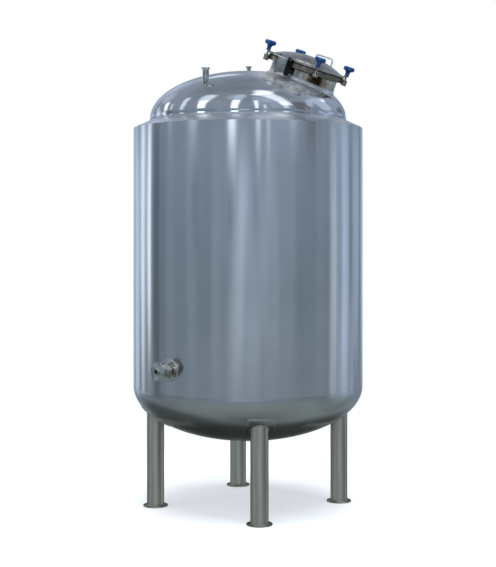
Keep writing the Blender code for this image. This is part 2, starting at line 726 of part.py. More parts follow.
def collar_mesh():
    """A flat ring bent to the jacket's curve."""
    rings = []
    for radius, lift in (
        (OUTLET_RADIUS + GAP, 0.0),
        (OUTLET_COLLAR_RADIUS, 0.0),
        (OUTLET_COLLAR_RADIUS, OUTLET_COLLAR_THICKNESS),
        (OUTLET_RADIUS + GAP, OUTLET_COLLAR_THICKNESS),
    ):
        ring = []
        for i in range(OUTLET_SEGMENTS):
            turn = 2 * math.pi * i / OUTLET_SEGMENTS
            x = radius * math.cos(turn)
            y = radius * math.sin(turn)
            wall = math.sqrt(JACKET_RADIUS ** 2 - x * x)
            ring.append((x, y, wall + GAP + lift))
        rings.append(ring)
    return ring_mesh("outlet_collar", rings)


def add_outlet(jacket, vessel, materials):
    """The side nozzle: a pipe through both walls, its collar, and an end plate with a socket."""
    place = outlet_matrix()
    inside = OUTLET_RADIUS - OUTLET_WALL
    pipe = [
        (OUTLET_RADIUS, OUTLET_INSIDE),
        (OUTLET_RADIUS, OUTLET_PIPE_END),
        (inside, OUTLET_PIPE_END),
        (inside, OUTLET_INSIDE),
    ]
    back = OUTLET_PIPE_END + GAP
    front = back + OUTLET_PLATE_THICKNESS
    end = front + OUTLET_BOSS_LENGTH
    plate = [
        (OUTLET_HOLE_RADIUS, back),
        (OUTLET_PLATE_RADIUS, back),
        (OUTLET_PLATE_RADIUS, front),
        (OUTLET_BOSS_RADIUS, front),
        (OUTLET_BOSS_RADIUS, end),
        (OUTLET_HOLE_RADIUS, end),
    ]
    add_object("outlet_collar", collar_mesh(), materials["fitting"], place)
    add_object("outlet_pipe", lathe("outlet_pipe", pipe, OUTLET_SEGMENTS), materials["fitting"], place)
    add_object("outlet_plate", lathe("outlet_plate", plate, OUTLET_SEGMENTS), materials["fitting"], place)
    reach = (OUTLET_INSIDE - CUT_MARGIN, OUTLET_PIPE_END + CUT_MARGIN)
    cutter = rod_cutter("outlet_cutter", OUTLET_RADIUS + 2 * GAP, *reach, place)
    cut(jacket, cutter)
    cut(vessel, cutter)


def main():
    clear_scene()
    materials = make_materials()
    jacket, vessel, head = add_shells(materials)
    add_legs(materials)
    cut(head, add_manway_base(materials))
    add_lid(materials)
    add_bolts(materials)
    add_top_nozzle("top_nozzle_left", LEFT_NOZZLE, head, materials)
    add_top_nozzle("top_nozzle_back", BACK_NOZZLE, head, materials)
    add_outlet(jacket, vessel, materials)


if __name__ == "__main__":
    main()
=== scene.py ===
"""Dresses the vertical jacketed storage tank and sets up its studio.

Every piece is a surface worked out on a grid, in metres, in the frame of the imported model: +Z up,
the tank's axis at the origin, the floor at zero and the front facing -Y.
"""

import logging
import math
from collections.abc import Sequence
from dataclasses import dataclass, field
from enum import Enum

import bmesh
import bpy
import numpy as np
from mathutils import Matrix, Vector


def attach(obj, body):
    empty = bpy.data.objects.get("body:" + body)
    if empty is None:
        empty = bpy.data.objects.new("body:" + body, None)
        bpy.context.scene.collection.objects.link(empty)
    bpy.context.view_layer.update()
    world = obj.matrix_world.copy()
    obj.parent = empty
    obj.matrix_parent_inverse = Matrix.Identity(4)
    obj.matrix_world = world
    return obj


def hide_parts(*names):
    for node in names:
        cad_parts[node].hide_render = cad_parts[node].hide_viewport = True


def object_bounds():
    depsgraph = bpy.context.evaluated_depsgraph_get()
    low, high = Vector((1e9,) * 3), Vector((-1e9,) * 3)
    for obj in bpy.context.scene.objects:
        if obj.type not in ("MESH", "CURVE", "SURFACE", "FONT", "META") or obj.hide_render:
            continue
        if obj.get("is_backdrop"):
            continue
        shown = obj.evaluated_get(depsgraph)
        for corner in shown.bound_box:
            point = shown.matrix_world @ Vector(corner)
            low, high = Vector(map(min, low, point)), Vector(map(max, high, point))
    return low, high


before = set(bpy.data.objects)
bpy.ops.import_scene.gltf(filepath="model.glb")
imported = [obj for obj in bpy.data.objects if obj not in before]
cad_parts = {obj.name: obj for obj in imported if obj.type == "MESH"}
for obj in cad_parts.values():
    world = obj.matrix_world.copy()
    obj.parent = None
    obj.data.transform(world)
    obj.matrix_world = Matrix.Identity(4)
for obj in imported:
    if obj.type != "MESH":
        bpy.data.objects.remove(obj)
CAD_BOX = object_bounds()
LOG = logging.getLogger("tank")
TURN = 2 * math.pi
# The clearance between two pieces that lie on each other
GAP = 0.0003
# Lays a piece that was turned about Z along Y
ALONG_Y = Matrix.Rotation(math.radians(90), 4, "X")

Node, Socket, Tree = bpy.types.Node, bpy.types.NodeSocket, bpy.types.NodeTree
Corners = Sequence[tuple[float, float]]
Point = tuple[float, float, float]


# Colour and node helpers


def linear(colour: str) -> tuple[float, float, float, float]:
    """Turns an sRGB hex colour into the linear one that shaders use.

    Args:
        colour: The colour, such as "#c4c6c9".

    Returns:
        Red, green, blue and an alpha of one.
    """
    parts = np.array([int(colour[k:k + 2], 16) for k in (1, 3, 5)]) / 255
    low = parts / 12.92
    high = ((parts + 0.055) / 1.055) ** 2.4
    return (*np.where(parts <= 0.04045, low, high).tolist(), 1.0)


def node(tree: Tree, kind: str, inputs: dict | None = None, **settings: object) -> Node:
    """Adds a node with its settings and links.

    Args:
        tree: The node tree that gets the node.
        kind: The node's type name.
        inputs: Socket name or number to a constant, to the output socket that feeds it, or to the
            node whose first output does.
        **settings: The node's own properties.

    Returns:
        The new node.
    """
    made = tree.nodes.new(kind)
    for name, value in settings.items():
        setattr(made, name, value)
    for key, value in (inputs or {}).items():
        value = value.outputs[0] if isinstance(value, Node) else value
        if isinstance(value, Socket):
            tree.links.new(value, made.inputs[key])
        else:
            made.inputs[key].default_value = value
    return made


def empty_material(name: str) -> bpy.types.Material:
    """Makes a material whose node tree is still empty.

    Args:
        name: The material's name.

    Returns:
        The material.
    """
    material = bpy.data.materials.new(name)
    material.use_nodes = True
    material.node_tree.nodes.clear()
    return material


# Surface helpers


@dataclass(frozen=True)
class Skin:
    """A surface on a grid of rows and columns.

    Attributes:
        points: Rows by columns by three, in metres.
        loop_rows: True where the last row joins the first.
        loop_cols: True where the last column joins the first.
    """

    points: np.ndarray
    loop_rows: bool = False
    loop_cols: bool = True

    def placed(self, matrix: Matrix) -> "Skin":
        """Moves the surface.

        Args:
            matrix: The placement, four by four.

        Returns:
            The surface after the move.
        """
        place = np.array(matrix)
        moved = self.points @ place[:3, :3].T + place[:3, 3]
        return Skin(moved, self.loop_rows, self.loop_cols)

    def faces(self, start: int) -> np.ndarray:
        """Joins each grid cell's four corners.

        Args:
            start: The number of the surface's first vertex.

        Returns:
            Vertex numbers, four to a face.
        """
        rows, cols = self.points.shape[:2]
        cells = np.arange(rows - (not self.loop_rows)), np.arange(cols - (not self.loop_cols))
        i, j = np.meshgrid(*cells, indexing="ij")
        below, beside = (i + 1) % rows, (j + 1) % cols
        corners = [i * cols + j, i * cols + beside, below * cols + beside, below * cols + j]
        return start + np.stack(corners, axis=-1).reshape(-1, 4)

    def texture(self) -> np.ndarray:
        """Lays out texture coordinates in metres.

        U is the distance along the longest row and V the mean distance from the first row, so a
        pattern that is stretched along U runs round a turned piece.

        Returns:
            Coordinates for each corner of each face, in the order of faces().
        """
        around = down = self.points
        if self.loop_cols:
            around = np.concatenate([self.points, self.points[:, :1]], axis=1)
        if self.loop_rows:
            down = np.concatenate([self.points, self.points[:1]], axis=0)
        u_steps = np.linalg.norm(np.diff(around, axis=1), axis=-1)
        v_steps = np.linalg.norm(np.diff(down, axis=0), axis=-1).mean(axis=1)
        u = np.concatenate([[0.0], np.cumsum(u_steps[u_steps.sum(axis=1).argmax()])])
        v = np.concatenate([[0.0], np.cumsum(v_steps)])
        i, j = np.meshgrid(np.arange(len(v) - 1), np.arange(len(u) - 1), indexing="ij")
        corners = [(u[j], v[i]), (u[j + 1], v[i]), (u[j + 1], v[i + 1]), (u[j], v[i + 1])]
        return np.stack([np.stack(c, axis=-1) for c in corners], axis=2).reshape(-1, 2)


def unit(vectors: np.ndarray) -> np.ndarray:
    """Scales vectors, which lie along the last axis, to a length of one."""
    return vectors / np.linalg.norm(vectors, axis=-1, keepdims=True)


def angles(count: int) -> np.ndarray:
    """Evenly spaced angles once round, in radians."""
    return np.arange(count) * TURN / count


def curved(start: np.ndarray, corner: np.ndarray, end: np.ndarray, t: np.ndarray) -> np.ndarray:
    """The quadratic curve (1-t)^2 A + 2t(1-t) P + t^2 B, which leaves A and meets B towards P.

    Args:
        start: A, one point or many.
        corner: P.
        end: B.
        t: The places on the curve, from 0 to 1.

    Returns:
        The points.
    """
    return (1 - t) ** 2 * start + 2 * t * (1 - t) * corner + t ** 2 * end


def rectangle(inner: float, outer: float, low: float, high: float) -> Corners:
    """A rectangle's corners in radius and height, its low side first."""
    return [(inner, low), (outer, low), (outer, high), (inner, high)]


def tube_section(inner: float, outer: float, low: float, high: float) -> Corners:
    """A tube's section: the rectangle's corners, its outer side first."""
    return [(outer, low), (outer, high), (inner, high), (inner, low)]


def rounded(corners: Corners, reach: float, steps: int = 4, closed: bool = True) -> np.ndarray:
    """Rounds an outline's corners.

    Each corner gives way to the quadratic curve that leaves one side and meets the other at the
    reach from it, or nearer on a short side.

    Args:
        corners: The outline's corners, two numbers each.
        reach: How far from each corner the curve starts, in metres.
        steps: How many parts each curve has.
        closed: False where the outline's two ends stay where they are.

    Returns:
        The rounded outline's points.
    """
    p = np.asarray(corners, float)
    before, after = np.roll(p, 1, axis=0) - p, np.roll(p, -1, axis=0) - p
    a_length = np.linalg.norm(before, axis=1, keepdims=True)
    b_length = np.linalg.norm(after, axis=1, keepdims=True)
    a = p + before / a_length * np.minimum(reach, 0.45 * a_length)
    b = p + after / b_length * np.minimum(reach, 0.45 * b_length)
    t = np.linspace(0, 1, steps + 1)[None, :, None]
    curve = curved(a[:, None], p[:, None], b[:, None], t)
    if closed:
        return curve.reshape(-1, 2)
    return np.concatenate([p[:1], curve[1:-1].reshape(-1, 2), p[-1:]])


def wrapped(radius: np.ndarray, height: np.ndarray) -> np.ndarray:
    """Wraps a grid about Z: the radius r at angle a and height z becomes (r cos a, r sin a, z).

    Args:
        radius: The radii, rows by columns, where the columns are spaced evenly once round.
        height: The heights, one for each row or one for each point.

    Returns:
        Rows by columns by three.
    """
    angle = angles(radius.shape[1])
    z = np.broadcast_to(height, radius.shape)
    return np.stack([radius * np.cos(angle), radius * np.sin(angle), z], axis=-1)


def turned(profile: np.ndarray | Corners, segments: int, edge: float = 0, steps: int = 3) -> Skin:
    """Turns a profile about Z: each point (r, z) becomes the circle (r cos a, r sin a, z).

    A profile that starts and ends on the axis is closed by its poles, and any other by its own
    loop.

    Args:
        profile: Radius and height of each point.
        segments: How many columns go round.
        edge: The rounding of the profile's corners, or zero.
        steps: How many parts each rounded corner has.

    Returns:
        The closed surface.
    """
    outline = np.asarray(profile, float)
    hollow = bool(outline[0, 0] > 1e-9)
    if edge:
        outline = rounded(outline, edge, steps, hollow)
    radius = np.repeat(outline[:, :1], segments, axis=1)
    return Skin(wrapped(radius, outline[:, 1:]), loop_rows=hollow)


def slab(outline: np.ndarray, low: float, high: float, edge: float) -> Skin:
    """Extrudes a star-shaped outline along Y and softens its two rims.

    Each row is the outline drawn in towards its centre by a share of the edge, at one Y: a quarter
    circle of rows leads from each flat end to the side.

    Args:
        outline: The (x, z) outline.
        low: The lower end's Y.
        high: The upper end's Y.
        edge: The radius of the rims.

    Returns:
        The closed surface.
    """
    centre = outline.mean(axis=0)
    size = np.linalg.norm(outline - centre, axis=1).mean()
    turn = np.linspace(0, math.pi / 2, 4)
    drawn, risen = edge * (1 - np.sin(turn)), edge * (1 - np.cos(turn))
    inset = np.concatenate([[size], drawn, drawn[::-1], [size]])
    along = np.concatenate([[low], low + risen, high - risen[::-1], [high]])
    shrink = (1 - inset / size)[:, None, None]
    flat = centre + (outline - centre)[None] * shrink
    y = np.broadcast_to(along[:, None], flat.shape[:2])
    return Skin(np.stack([flat[..., 0], y, flat[..., 1]], axis=-1))


def swept(
    path: np.ndarray, radius: np.ndarray | float, sides: int, closed: bool, up: np.ndarray,
    flatten: float = 1.0,
) -> Skin:
    """Carries a round or oval section along a path.

    At each point the section lies across the path's direction T, in the plane of N, the part of
    `up` square to T, and B = T x N: point = path + r (N flatten cos a + B sin a).

    Args:
        path: The points that the section's centre follows.
        radius: The section's radius, one for the whole path or one for each point.
        sides: How many columns the section has.
        closed: True where the path is a loop. The ends of any other are closed by their centres.
        up: The direction that the section's N leans to, one for the path or one for each point.
        flatten: The section's size along N as a share of that along B.

    Returns:
        The closed surface.
    """
    ahead = np.roll(path, -1, axis=0) - np.roll(path, 1, axis=0)
    if not closed:
        ahead[0], ahead[-1] = path[1] - path[0], path[-1] - path[-2]
    t = unit(ahead)
    lean = np.broadcast_to(up, t.shape)
    n = unit(lean - (lean * t).sum(axis=1, keepdims=True) * t)
    b = np.cross(t, n)
    angle = angles(sides)[None, :, None]
    size = np.broadcast_to(radius, (len(path),))[:, None, None]
    points = path[:, None] + size * (
        n[:, None] * flatten * np.cos(angle) + b[:, None] * np.sin(angle)
    )
    if not closed:
        ends = [np.broadcast_to(path[k], points[:1].shape) for k in (0, -1)]
        points = np.concatenate([ends[0], points, ends[1]])
    return Skin(points, loop_rows=closed)


@dataclass(frozen=True)
class WeldBead:
    """A row of overlapping weld ripples along a closed seam.

    Attributes:
        radius: Half the bead's width.
        flatten: Its height as a share of half its width.
        ripple: How far the ripples swell it, as a share of its radius.
        pitch: The ripples' spacing, in metres.
        sides: How many columns its section has.
    """

    radius: float = 0.0030
    flatten: float = 0.6
    ripple: float = 0.10
    pitch: float = 0.0035
    sides: int = 10

    def along(self, path: np.ndarray, up: np.ndarray) -> Skin:
        """Lays the bead on a closed seam.

        The radius is r (1 + ripple |cos(pi n k / K)|) at point k of K, for n ripples in all, which
        are at least eight.

        Args:
            path: The seam's points.
            up: The direction away from the metal at each point.

        Returns:
            The bead's surface.
        """
        length = np.linalg.norm(np.roll(path, -1, axis=0) - path, axis=1).sum()
        ripples = max(8, round(length / self.pitch))
        k = np.arange(len(path)) / len(path)
        radius = self.radius * (1 + self.ripple * np.abs(np.cos(math.pi * ripples * k)))
        return swept(path, radius, self.sides, True, up, self.flatten)


# The short-pitched weld round the nozzles
NOZZLE_BEAD = WeldBead(0.0022, 0.8, 0.1, 0.003)


def ring_path(radius: float, height: float, count: int) -> np.ndarray:
    """Points on a level circle about Z.

    Args:
        radius: The circle's radius.
        height: Its height.
        count: How many points it has.

    Returns:
        The points.
    """
    return wrapped(np.full((1, count), radius), height)[0]


# Finishes


class Grain(Enum):
    """The mark that the last working of a steel surface leaves."""

    ROUND = "fine lines along the texture's U, round a turned piece"
    SPUN = "coarser rings along the texture's U, from a spinning tool"
    DRAWN = "lines along the texture's V, from a drawing die"
    POLISHED = "no lines, and the slow ripple of a buffed sheet"
    BEAD = "small uneven ripples"


# How many times longer than they are apart the lines of a grain run
STRETCH = {Grain.ROUND: 60, Grain.SPUN: 200, Grain.DRAWN: 80}
# The turn, as a share of a whole one, that lays the anisotropy across U
ACROSS_U = 0.25


@dataclass(frozen=True)
class SteelFinish:
    """Stainless steel, 304 grade: bare metal, whose sheen comes from its grain and not a coating.

    Attributes:
        name: The material's name.
        colour: The metal's own colour in sRGB.
        stain: The colour that its darker patches lean to: a stain on most finishes, painted shade
            and reflection on the neck's, the frame's, the cheeks' and the nozzles'.
        roughness: The mean roughness.
        spread: How far the roughness wanders.
        grain: What the surface's working left.
        spacing_mm: The mean spacing of its marks.
        relief_mm: The height of its marks.
        anisotropy: How much further reflections spread across the grain than along it.
        blotch_mm: The size of its darker patches.
        blotch_edge: Where in their noise the patches begin, and where they are darkest.
        edge: The tint of reflections at a grazing view; the dark tints of the frame and the leg
            tubes are painted shade.
        stain_at: The middle of one large spot of painted shade, in metres, or None.
        stain_reach: How far from there the painted shade starts to fade, and ends.
        stain_depth: The painted shade's share where it is darkest.
        ground_at: The middle of a zone that was ground dull by hand, in metres, or None.
        ground_reach: How far from there the zone starts to fade, and ends.
        ground_roughness: The roughness of the grinding disc's strokes.
        ground_metallic: The share of light that the strokes still mirror, and don't scatter.
        stroke_scale: The scale of the strokes' noise: about 24 mm from one to the next.
        stroke_edge: Where in that noise the strokes begin, and where they are full.
        stroke_low: How much of the dulling stays between the strokes.
    """

    name: str
    colour: str
    stain: str
    roughness: float
    spread: float
    grain: Grain
    spacing_mm: float
    relief_mm: float
    anisotropy: float = 0.0
    blotch_mm: float = 310.0
    blotch_edge: tuple[float, float] = (0.42, 0.72)
    edge: str = "#ffffff"
    stain_at: Point | None = None
    stain_reach: tuple[float, float] = (0.0, 0.0)
    stain_depth: float = 0.9
    ground_at: Point | None = None
    ground_reach: tuple[float, float] = (0.0, 0.0)
    ground_roughness: float = 0.5
    ground_metallic: float = 0.66
    stroke_scale: float = 42.0
    stroke_edge: tuple[float, float] = (0.36, 0.60)
    stroke_low: float = 0.45

    def build(self) -> bpy.types.Material:
        """Makes the material.

        Returns:
            The material.
        """
        material = empty_material(self.name)
        tree = material.node_tree
        place = node(tree, "ShaderNodeTexCoord")
        solid = place.outputs["Object"]
        lines = self.marks(tree, place)
        low, high = self.roughness - self.spread, self.roughness + self.spread
        rough = node(tree, "ShaderNodeMapRange", {"Value": lines, "To Min": low, "To Max": high})
        inputs = {
            "Base Color": self.tone(tree, place),
            "Metallic": 1.0,
            "Roughness": rough,
            "Anisotropic": self.anisotropy,
            "Anisotropic Rotation": ACROSS_U,
            "Specular Tint": linear(self.edge),
            "Normal": node(
                tree, "ShaderNodeBump",
                {"Height": lines, "Strength": 1.0, "Distance": self.relief_mm / 1000},
            ),
        }
        if self.anisotropy:
            inputs["Tangent"] = node(
                tree, "ShaderNodeTangent", direction_type="UV_MAP", uv_map="UVMap"
            )
        if self.ground_at is not None:
            inputs["Roughness"], inputs["Metallic"] = self.dulled(tree, rough, solid)
        shader = node(tree, "ShaderNodeBsdfPrincipled", inputs)
        node(tree, "ShaderNodeOutputMaterial", {"Surface": shader})
        return material

    def tone(self, tree: Tree, place: Node) -> Socket:
        """Mixes the metal's colour with that of its patches, and of its one large spot of painted
        shade.

        Args:
            tree: The material's node tree.
            place: The texture coordinates.

        Returns:
            The colour.
        """
        solid = place.outputs["Object"]
        spread_out = solid
        if self.grain is Grain.DRAWN:
            # Patches of a drawn tube are fifty times longer than wide
            spread_out = node(
                tree, "ShaderNodeMapping",
                {"Vector": place.outputs["UV"], "Scale": (1.0, 0.02, 1.0)},
            )
        patches = node(
            tree, "ShaderNodeTexNoise",
            {
                "Vector": spread_out, "Scale": 1000 / self.blotch_mm, "Detail": 5.0,
                "Roughness": 0.6,
            },
        )
        start, full = self.blotch_edge
        # Darker patches at random: stains, and painted shade and reflection on the neck, frame,
        # cheeks and nozzles
        stained = node(
            tree, "ShaderNodeMapRange", {"Value": patches, "From Min": start, "From Max": full}
        )
        # One large spot of painted shade over the patches, darkest at its middle
        if self.stain_at is not None:
            share = self.zone(tree, solid, self.stain_at, self.stain_reach)
            stained = node(
                tree, "ShaderNodeMath", {0: share, 1: self.stain_depth, 2: stained},
                operation="MULTIPLY_ADD", use_clamp=True,
            )
        return node(
            tree, "ShaderNodeMix",
            {"Factor": stained, "A": linear(self.colour), "B": linear(self.stain)},
            data_type="RGBA",
        ).outputs["Result"]

    @staticmethod
    def zone(tree: Tree, solid: Socket, middle: Point, reach: tuple[float, float]) -> Node:
        """Marks a round zone.

        Args:
            tree: The material's node tree.
            solid: Object coordinates.
            middle: The zone's middle, in metres.
            reach: How far from there it starts to fade, and ends.

        Returns:
            One in the zone, falling to zero outside it.
        """
        away = node(tree, "ShaderNodeVectorMath", {0: solid, 1: middle}, operation="DISTANCE")
        near, far = reach
        return node(
            tree, "ShaderNodeMapRange",
            {"Value": away.outputs["Value"], "From Min": far, "From Max": near},
            interpolation_type="SMOOTHSTEP",
        )

    def dulled(self, tree: Tree, rough: Node, solid: Socket) -> tuple[Socket, Node]:
        """Dulls the zone that was ground by hand, in strokes whose scratches scatter light.

        Args:
            tree: The material's node tree.
            rough: The roughness elsewhere.
            solid: Object coordinates.

        Returns:
            The roughness and the metallic share, in the zone and outside it.
        """
        disc = node(
            tree, "ShaderNodeTexNoise",
            {"Vector": solid, "Scale": self.stroke_scale, "Detail": 5.0, "Roughness": 0.7},
        )
        start, full = self.stroke_edge
        strokes = node(
            tree, "ShaderNodeMapRange",
            {
                "Value": disc, "From Min": start, "From Max": full, "To Min": self.stroke_low,
                "To Max": 1.0,
            },
        )
        zone = self.zone(tree, solid, self.ground_at, self.ground_reach)
        share = node(tree, "ShaderNodeMath", {0: zone, 1: strokes}, operation="MULTIPLY")
        blend = node(
            tree, "ShaderNodeMix", {"Factor": share, "A": rough, "B": self.ground_roughness}
        )
        bare = node(
            tree, "ShaderNodeMapRange",
            {"Value": share, "To Min": 1.0, "To Max": self.ground_metallic},
        )
        return blend.outputs["Result"], bare

    def marks(self, tree: Tree, place: Node) -> Node:
        """Adds the pattern that the surface's working left.

        Args:
            tree: The material's node tree.
            place: The texture coordinates, with U along the grain in metres.

        Returns:
            A height from 0 to 1.
        """
        across = 1000 / self.spacing_mm
        if self.grain in STRETCH:
            along = across / STRETCH[self.grain]
            scale = (across, along, 1.0) if self.grain is Grain.DRAWN else (along, across, 1.0)
            stretched = node(
                tree, "ShaderNodeMapping", {"Vector": place.outputs["UV"], "Scale": scale}
            )
            return node(
                tree, "ShaderNodeTexNoise",
                {"Vector": stretched, "Scale": 1.0, "Detail": 3.0, "Roughness": 0.65},
                noise_dimensions="2D",
            )
        detail = 5.0 if self.grain is Grain.POLISHED else 4.0
        return node(
            tree, "ShaderNodeTexNoise",
            {"Vector": place.outputs["Object"], "Scale": across, "Detail": detail},
        )


@dataclass(frozen=True)
class MouldedFinish:
    """A moulded part of one colour all through: nylon or rubber, dulled by a fine mould grain.

    Attributes:
        name: The material's name.
        colour: Its colour in sRGB.
        worn: The paler colour of its patches: painted sheen on the knobs, wear on the seal.
        roughness: The mean roughness.
        ior: The index of refraction.
        grit_mm: The mould grain's size, drawn coarser than real so that it shows.
        spread: How far the roughness wanders.
        rub_scale: The scale of the pale patches' noise: about 17 mm from one to the next.
        rub_edge: Where in that noise the pale patches begin, and where they are palest.
    """

    name: str
    colour: str
    worn: str
    roughness: float
    ior: float
    grit_mm: float
    spread: float = 0.08
    rub_scale: float = 60.0
    rub_edge: tuple[float, float] = (0.48, 0.70)

    def build(self) -> bpy.types.Material:
        """Makes the material.

        Returns:
            The material.
        """
        material = empty_material(self.name)
        tree = material.node_tree
        solid = node(tree, "ShaderNodeTexCoord").outputs["Object"]
        rubbed = node(
            tree, "ShaderNodeTexNoise", {"Vector": solid, "Scale": self.rub_scale, "Detail": 4.0}
        )
        start, full = self.rub_edge
        fade = node(
            tree, "ShaderNodeMapRange", {"Value": rubbed, "From Min": start, "From Max": full}
        )
        # Pale patches at random: painted sheen on the knobs, wear on the seal
        colour = node(
            tree, "ShaderNodeMix",
            {"Factor": fade, "A": linear(self.colour), "B": linear(self.worn)}, data_type="RGBA",
        )
        low, high = self.roughness - self.spread, self.roughness + self.spread
        rough = node(tree, "ShaderNodeMapRange", {"Value": rubbed, "To Min": low, "To Max": high})
        grit = node(
            tree, "ShaderNodeTexNoise",
            {"Vector": solid, "Scale": 1000 / self.grit_mm, "Detail": 2.0},
        )
        relief = node(
            tree, "ShaderNodeBump", {"Height": grit, "Strength": 0.4, "Distance": 0.0001}
        )
        shader = node(
            tree, "ShaderNodeBsdfPrincipled",
            {
                "Base Color": colour.outputs["Result"], "Roughness": rough, "IOR": self.ior,
                "Normal": relief,
            },
        )
        node(tree, "ShaderNodeOutputMaterial", {"Surface": shader})
        return material


# Rolled sheet, ground round the tank: it blurs reflections into upright bands
SATIN_SHEET = SteelFinish(
    "satin_sheet_steel", "#cfd1d4", "#c8cacd", 0.155, 0.02, Grain.ROUND, 1.6, 0.008, 0.8,
)
# The shoulder's rolled sheet, near white and paler than the jacket's same steel: painted light; it
# repeats the dome's windows softly
PALE_SHEET = SteelFinish(
    "sheet_steel_painted_light", "#f5f6f8", "#e6e8eb", 0.32, 0.04, Grain.ROUND, 2.0, 0.01, 0.3,
)
# Spun head: the same steel with the tool's rings left to be seen, coarser than real so that
# they show
SPUN_HEAD = SteelFinish(
    "spun_head_steel", "#c2c7c8", "#b2b7b6", 0.22, 0.06, Grain.SPUN, 9.0, 0.08, 0.5,
)
# Pressed and buffed head: a clear mirror with a slow ripple, duller where it was ground by hand
MIRROR_HEAD = SteelFinish(
    "mirror_head_steel", "#d4d5d8", "#bdc1c4", 0.065, 0.02, Grain.POLISHED, 60.0, 0.42,
    ground_at=(0.260, -0.300, 2.580), ground_reach=(0.16, 0.28),
)
# Polished tube and discs of the nozzles: a mirror that shows the studio's dark and light sides,
# with small olive-grey patches of painted dark reflection
POLISHED_TUBE = SteelFinish(
    "polished_tube_steel", "#dcdcd8", "#8a8674", 0.08, 0.03, Grain.ROUND, 1.2, 0.01,
    blotch_mm=34.0,
)
# Turned and buffed fittings: nearly a mirror, with fine lines and grey-brown patches
BUFFED_FITTING = SteelFinish(
    "buffed_fitting_steel", "#c6c4be", "#857c6c", 0.13, 0.04, Grain.ROUND, 1.2, 0.02,
    blotch_mm=60.0,
)
# The neck: straw-grey steel whose dark brown patches, and one large dark brown spot on its front,
# are painted shade and reflection
TINTED_NECK = SteelFinish(
    "neck_steel_painted_shade", "#bdb7a9", "#3a2814", 0.13, 0.04, Grain.ROUND, 2.0, 0.02,
    blotch_mm=70.0, blotch_edge=(0.46, 0.80),
    stain_at=(0.391, -0.348, 2.544), stain_reach=(0.022, 0.062),
)
# The hinge's cheeks, of near-black steel: painted shade
SCALED_CHEEK = SteelFinish(
    "cheek_steel_painted_shade", "#37322f", "#1f1a18", 0.42, 0.08, Grain.BEAD, 4.0, 0.05,
)
# The bolts' cast forks: dull, so that they don't sparkle
CAST_FORK = SteelFinish(
    "cast_fork_steel", "#bdb9ae", "#7b7364", 0.36, 0.06, Grain.BEAD, 3.0, 0.05, blotch_mm=20.0,
)
# The manway's frame, darker and browner than the lid's steel, with a dark edge tint: painted shade
SMOKED_FRAME = SteelFinish(
    "frame_steel_painted_shade", "#9a9284", "#4a3f33", 0.20, 0.05, Grain.ROUND, 1.5, 0.02,
    blotch_mm=80.0, edge="#8a8478",
)
# Drawn tube, pickled: its lengthwise lines streak what it reflects, duller than the jacket does;
# its dark edge tint is painted shade on the tube's grazing sides
GROUND_TUBE = SteelFinish(
    "ground_tube_steel", "#d6d1c2", "#9f9884", 0.34, 0.08, Grain.DRAWN, 12.0, 0.5, 0.3,
    blotch_mm=36.0, blotch_edge=(0.40, 0.66), edge="#57534a",
)
# Weld metal, brushed bright, with small ripples
WELD_METAL = SteelFinish(
    "weld_bead_steel", "#cfd0d2", "#b5b1a8", 0.32, 0.08, Grain.BEAD, 3.0, 0.10,
)
# Nylon knobs, whose paler teal patches are painted sheen
BLUE_NYLON = MouldedFinish("blue_nylon", "#103c84", "#1a74a2", 0.32, 1.53, 0.8)
# Moulded seal
BLACK_SEAL = MouldedFinish("black_seal_rubber", "#1b1b1c", "#262627", 0.62, 1.50, 1.0)


@dataclass
class Palette:
    """The tank's materials, each made once, and the making of the pieces that wear them."""

    made: dict[str, bpy.types.Material] = field(default_factory=dict)

    def add(
        self, name: str, skins: Sequence[Skin], finish: SteelFinish | MouldedFinish, slot: str,
        *nodes: str, body: str = "tank", place: Matrix | None = None, sharp: float = 38.0,
    ) -> None:
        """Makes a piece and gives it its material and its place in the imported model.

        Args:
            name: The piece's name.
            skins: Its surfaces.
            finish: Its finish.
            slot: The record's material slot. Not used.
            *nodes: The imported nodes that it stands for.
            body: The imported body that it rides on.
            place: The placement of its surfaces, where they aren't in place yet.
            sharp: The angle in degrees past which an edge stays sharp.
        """
        if place is not None:
            skins = [skin.placed(place) for skin in skins]
        piece = self.make(name, skins, sharp)
        if finish.name not in self.made:
            self.made[finish.name] = finish.build()
        piece.data.materials.append(self.made[finish.name])
        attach(piece, body)
        if nodes:
            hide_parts(*nodes)
        LOG.info("%s: %d faces, on %s", piece.name, len(piece.data.polygons), body)

    @staticmethod
    def make(name: str, skins: Sequence[Skin], sharp: float) -> bpy.types.Object:
        """Makes one object of closed surfaces: merges their poles and turns their faces outwards.

        Args:
            name: The object's name.
            skins: Its surfaces.
            sharp: The angle in degrees past which an edge stays sharp.

        Returns:
            The object, at the origin.
        """
        starts = np.cumsum([0] + [s.points.shape[0] * s.points.shape[1] for s in skins])
        mesh = bpy.data.meshes.new(name)
        points = np.concatenate([s.points.reshape(-1, 3) for s in skins])
        faces = np.concatenate([s.faces(start) for s, start in zip(skins, starts)])
        mesh.from_pydata(points.tolist(), [], faces.tolist())
        layer = mesh.uv_layers.new(name="UVMap")
        layer.data.foreach_set("uv", np.concatenate([s.texture() for s in skins]).ravel())
        bm = bmesh.new()
        bm.from_mesh(mesh)
        bmesh.ops.remove_doubles(bm, verts=bm.verts, dist=1e-6)
        bmesh.ops.recalc_face_normals(bm, faces=bm.faces)
        bm.to_mesh(mesh)
        bm.free()
        mesh.shade_smooth()
        mesh.set_sharp_from_angle(angle=math.radians(sharp))
        piece = bpy.data.objects.new(name, mesh)
        bpy.context.scene.collection.objects.link(piece)
        return piece


# Sub-assemblies


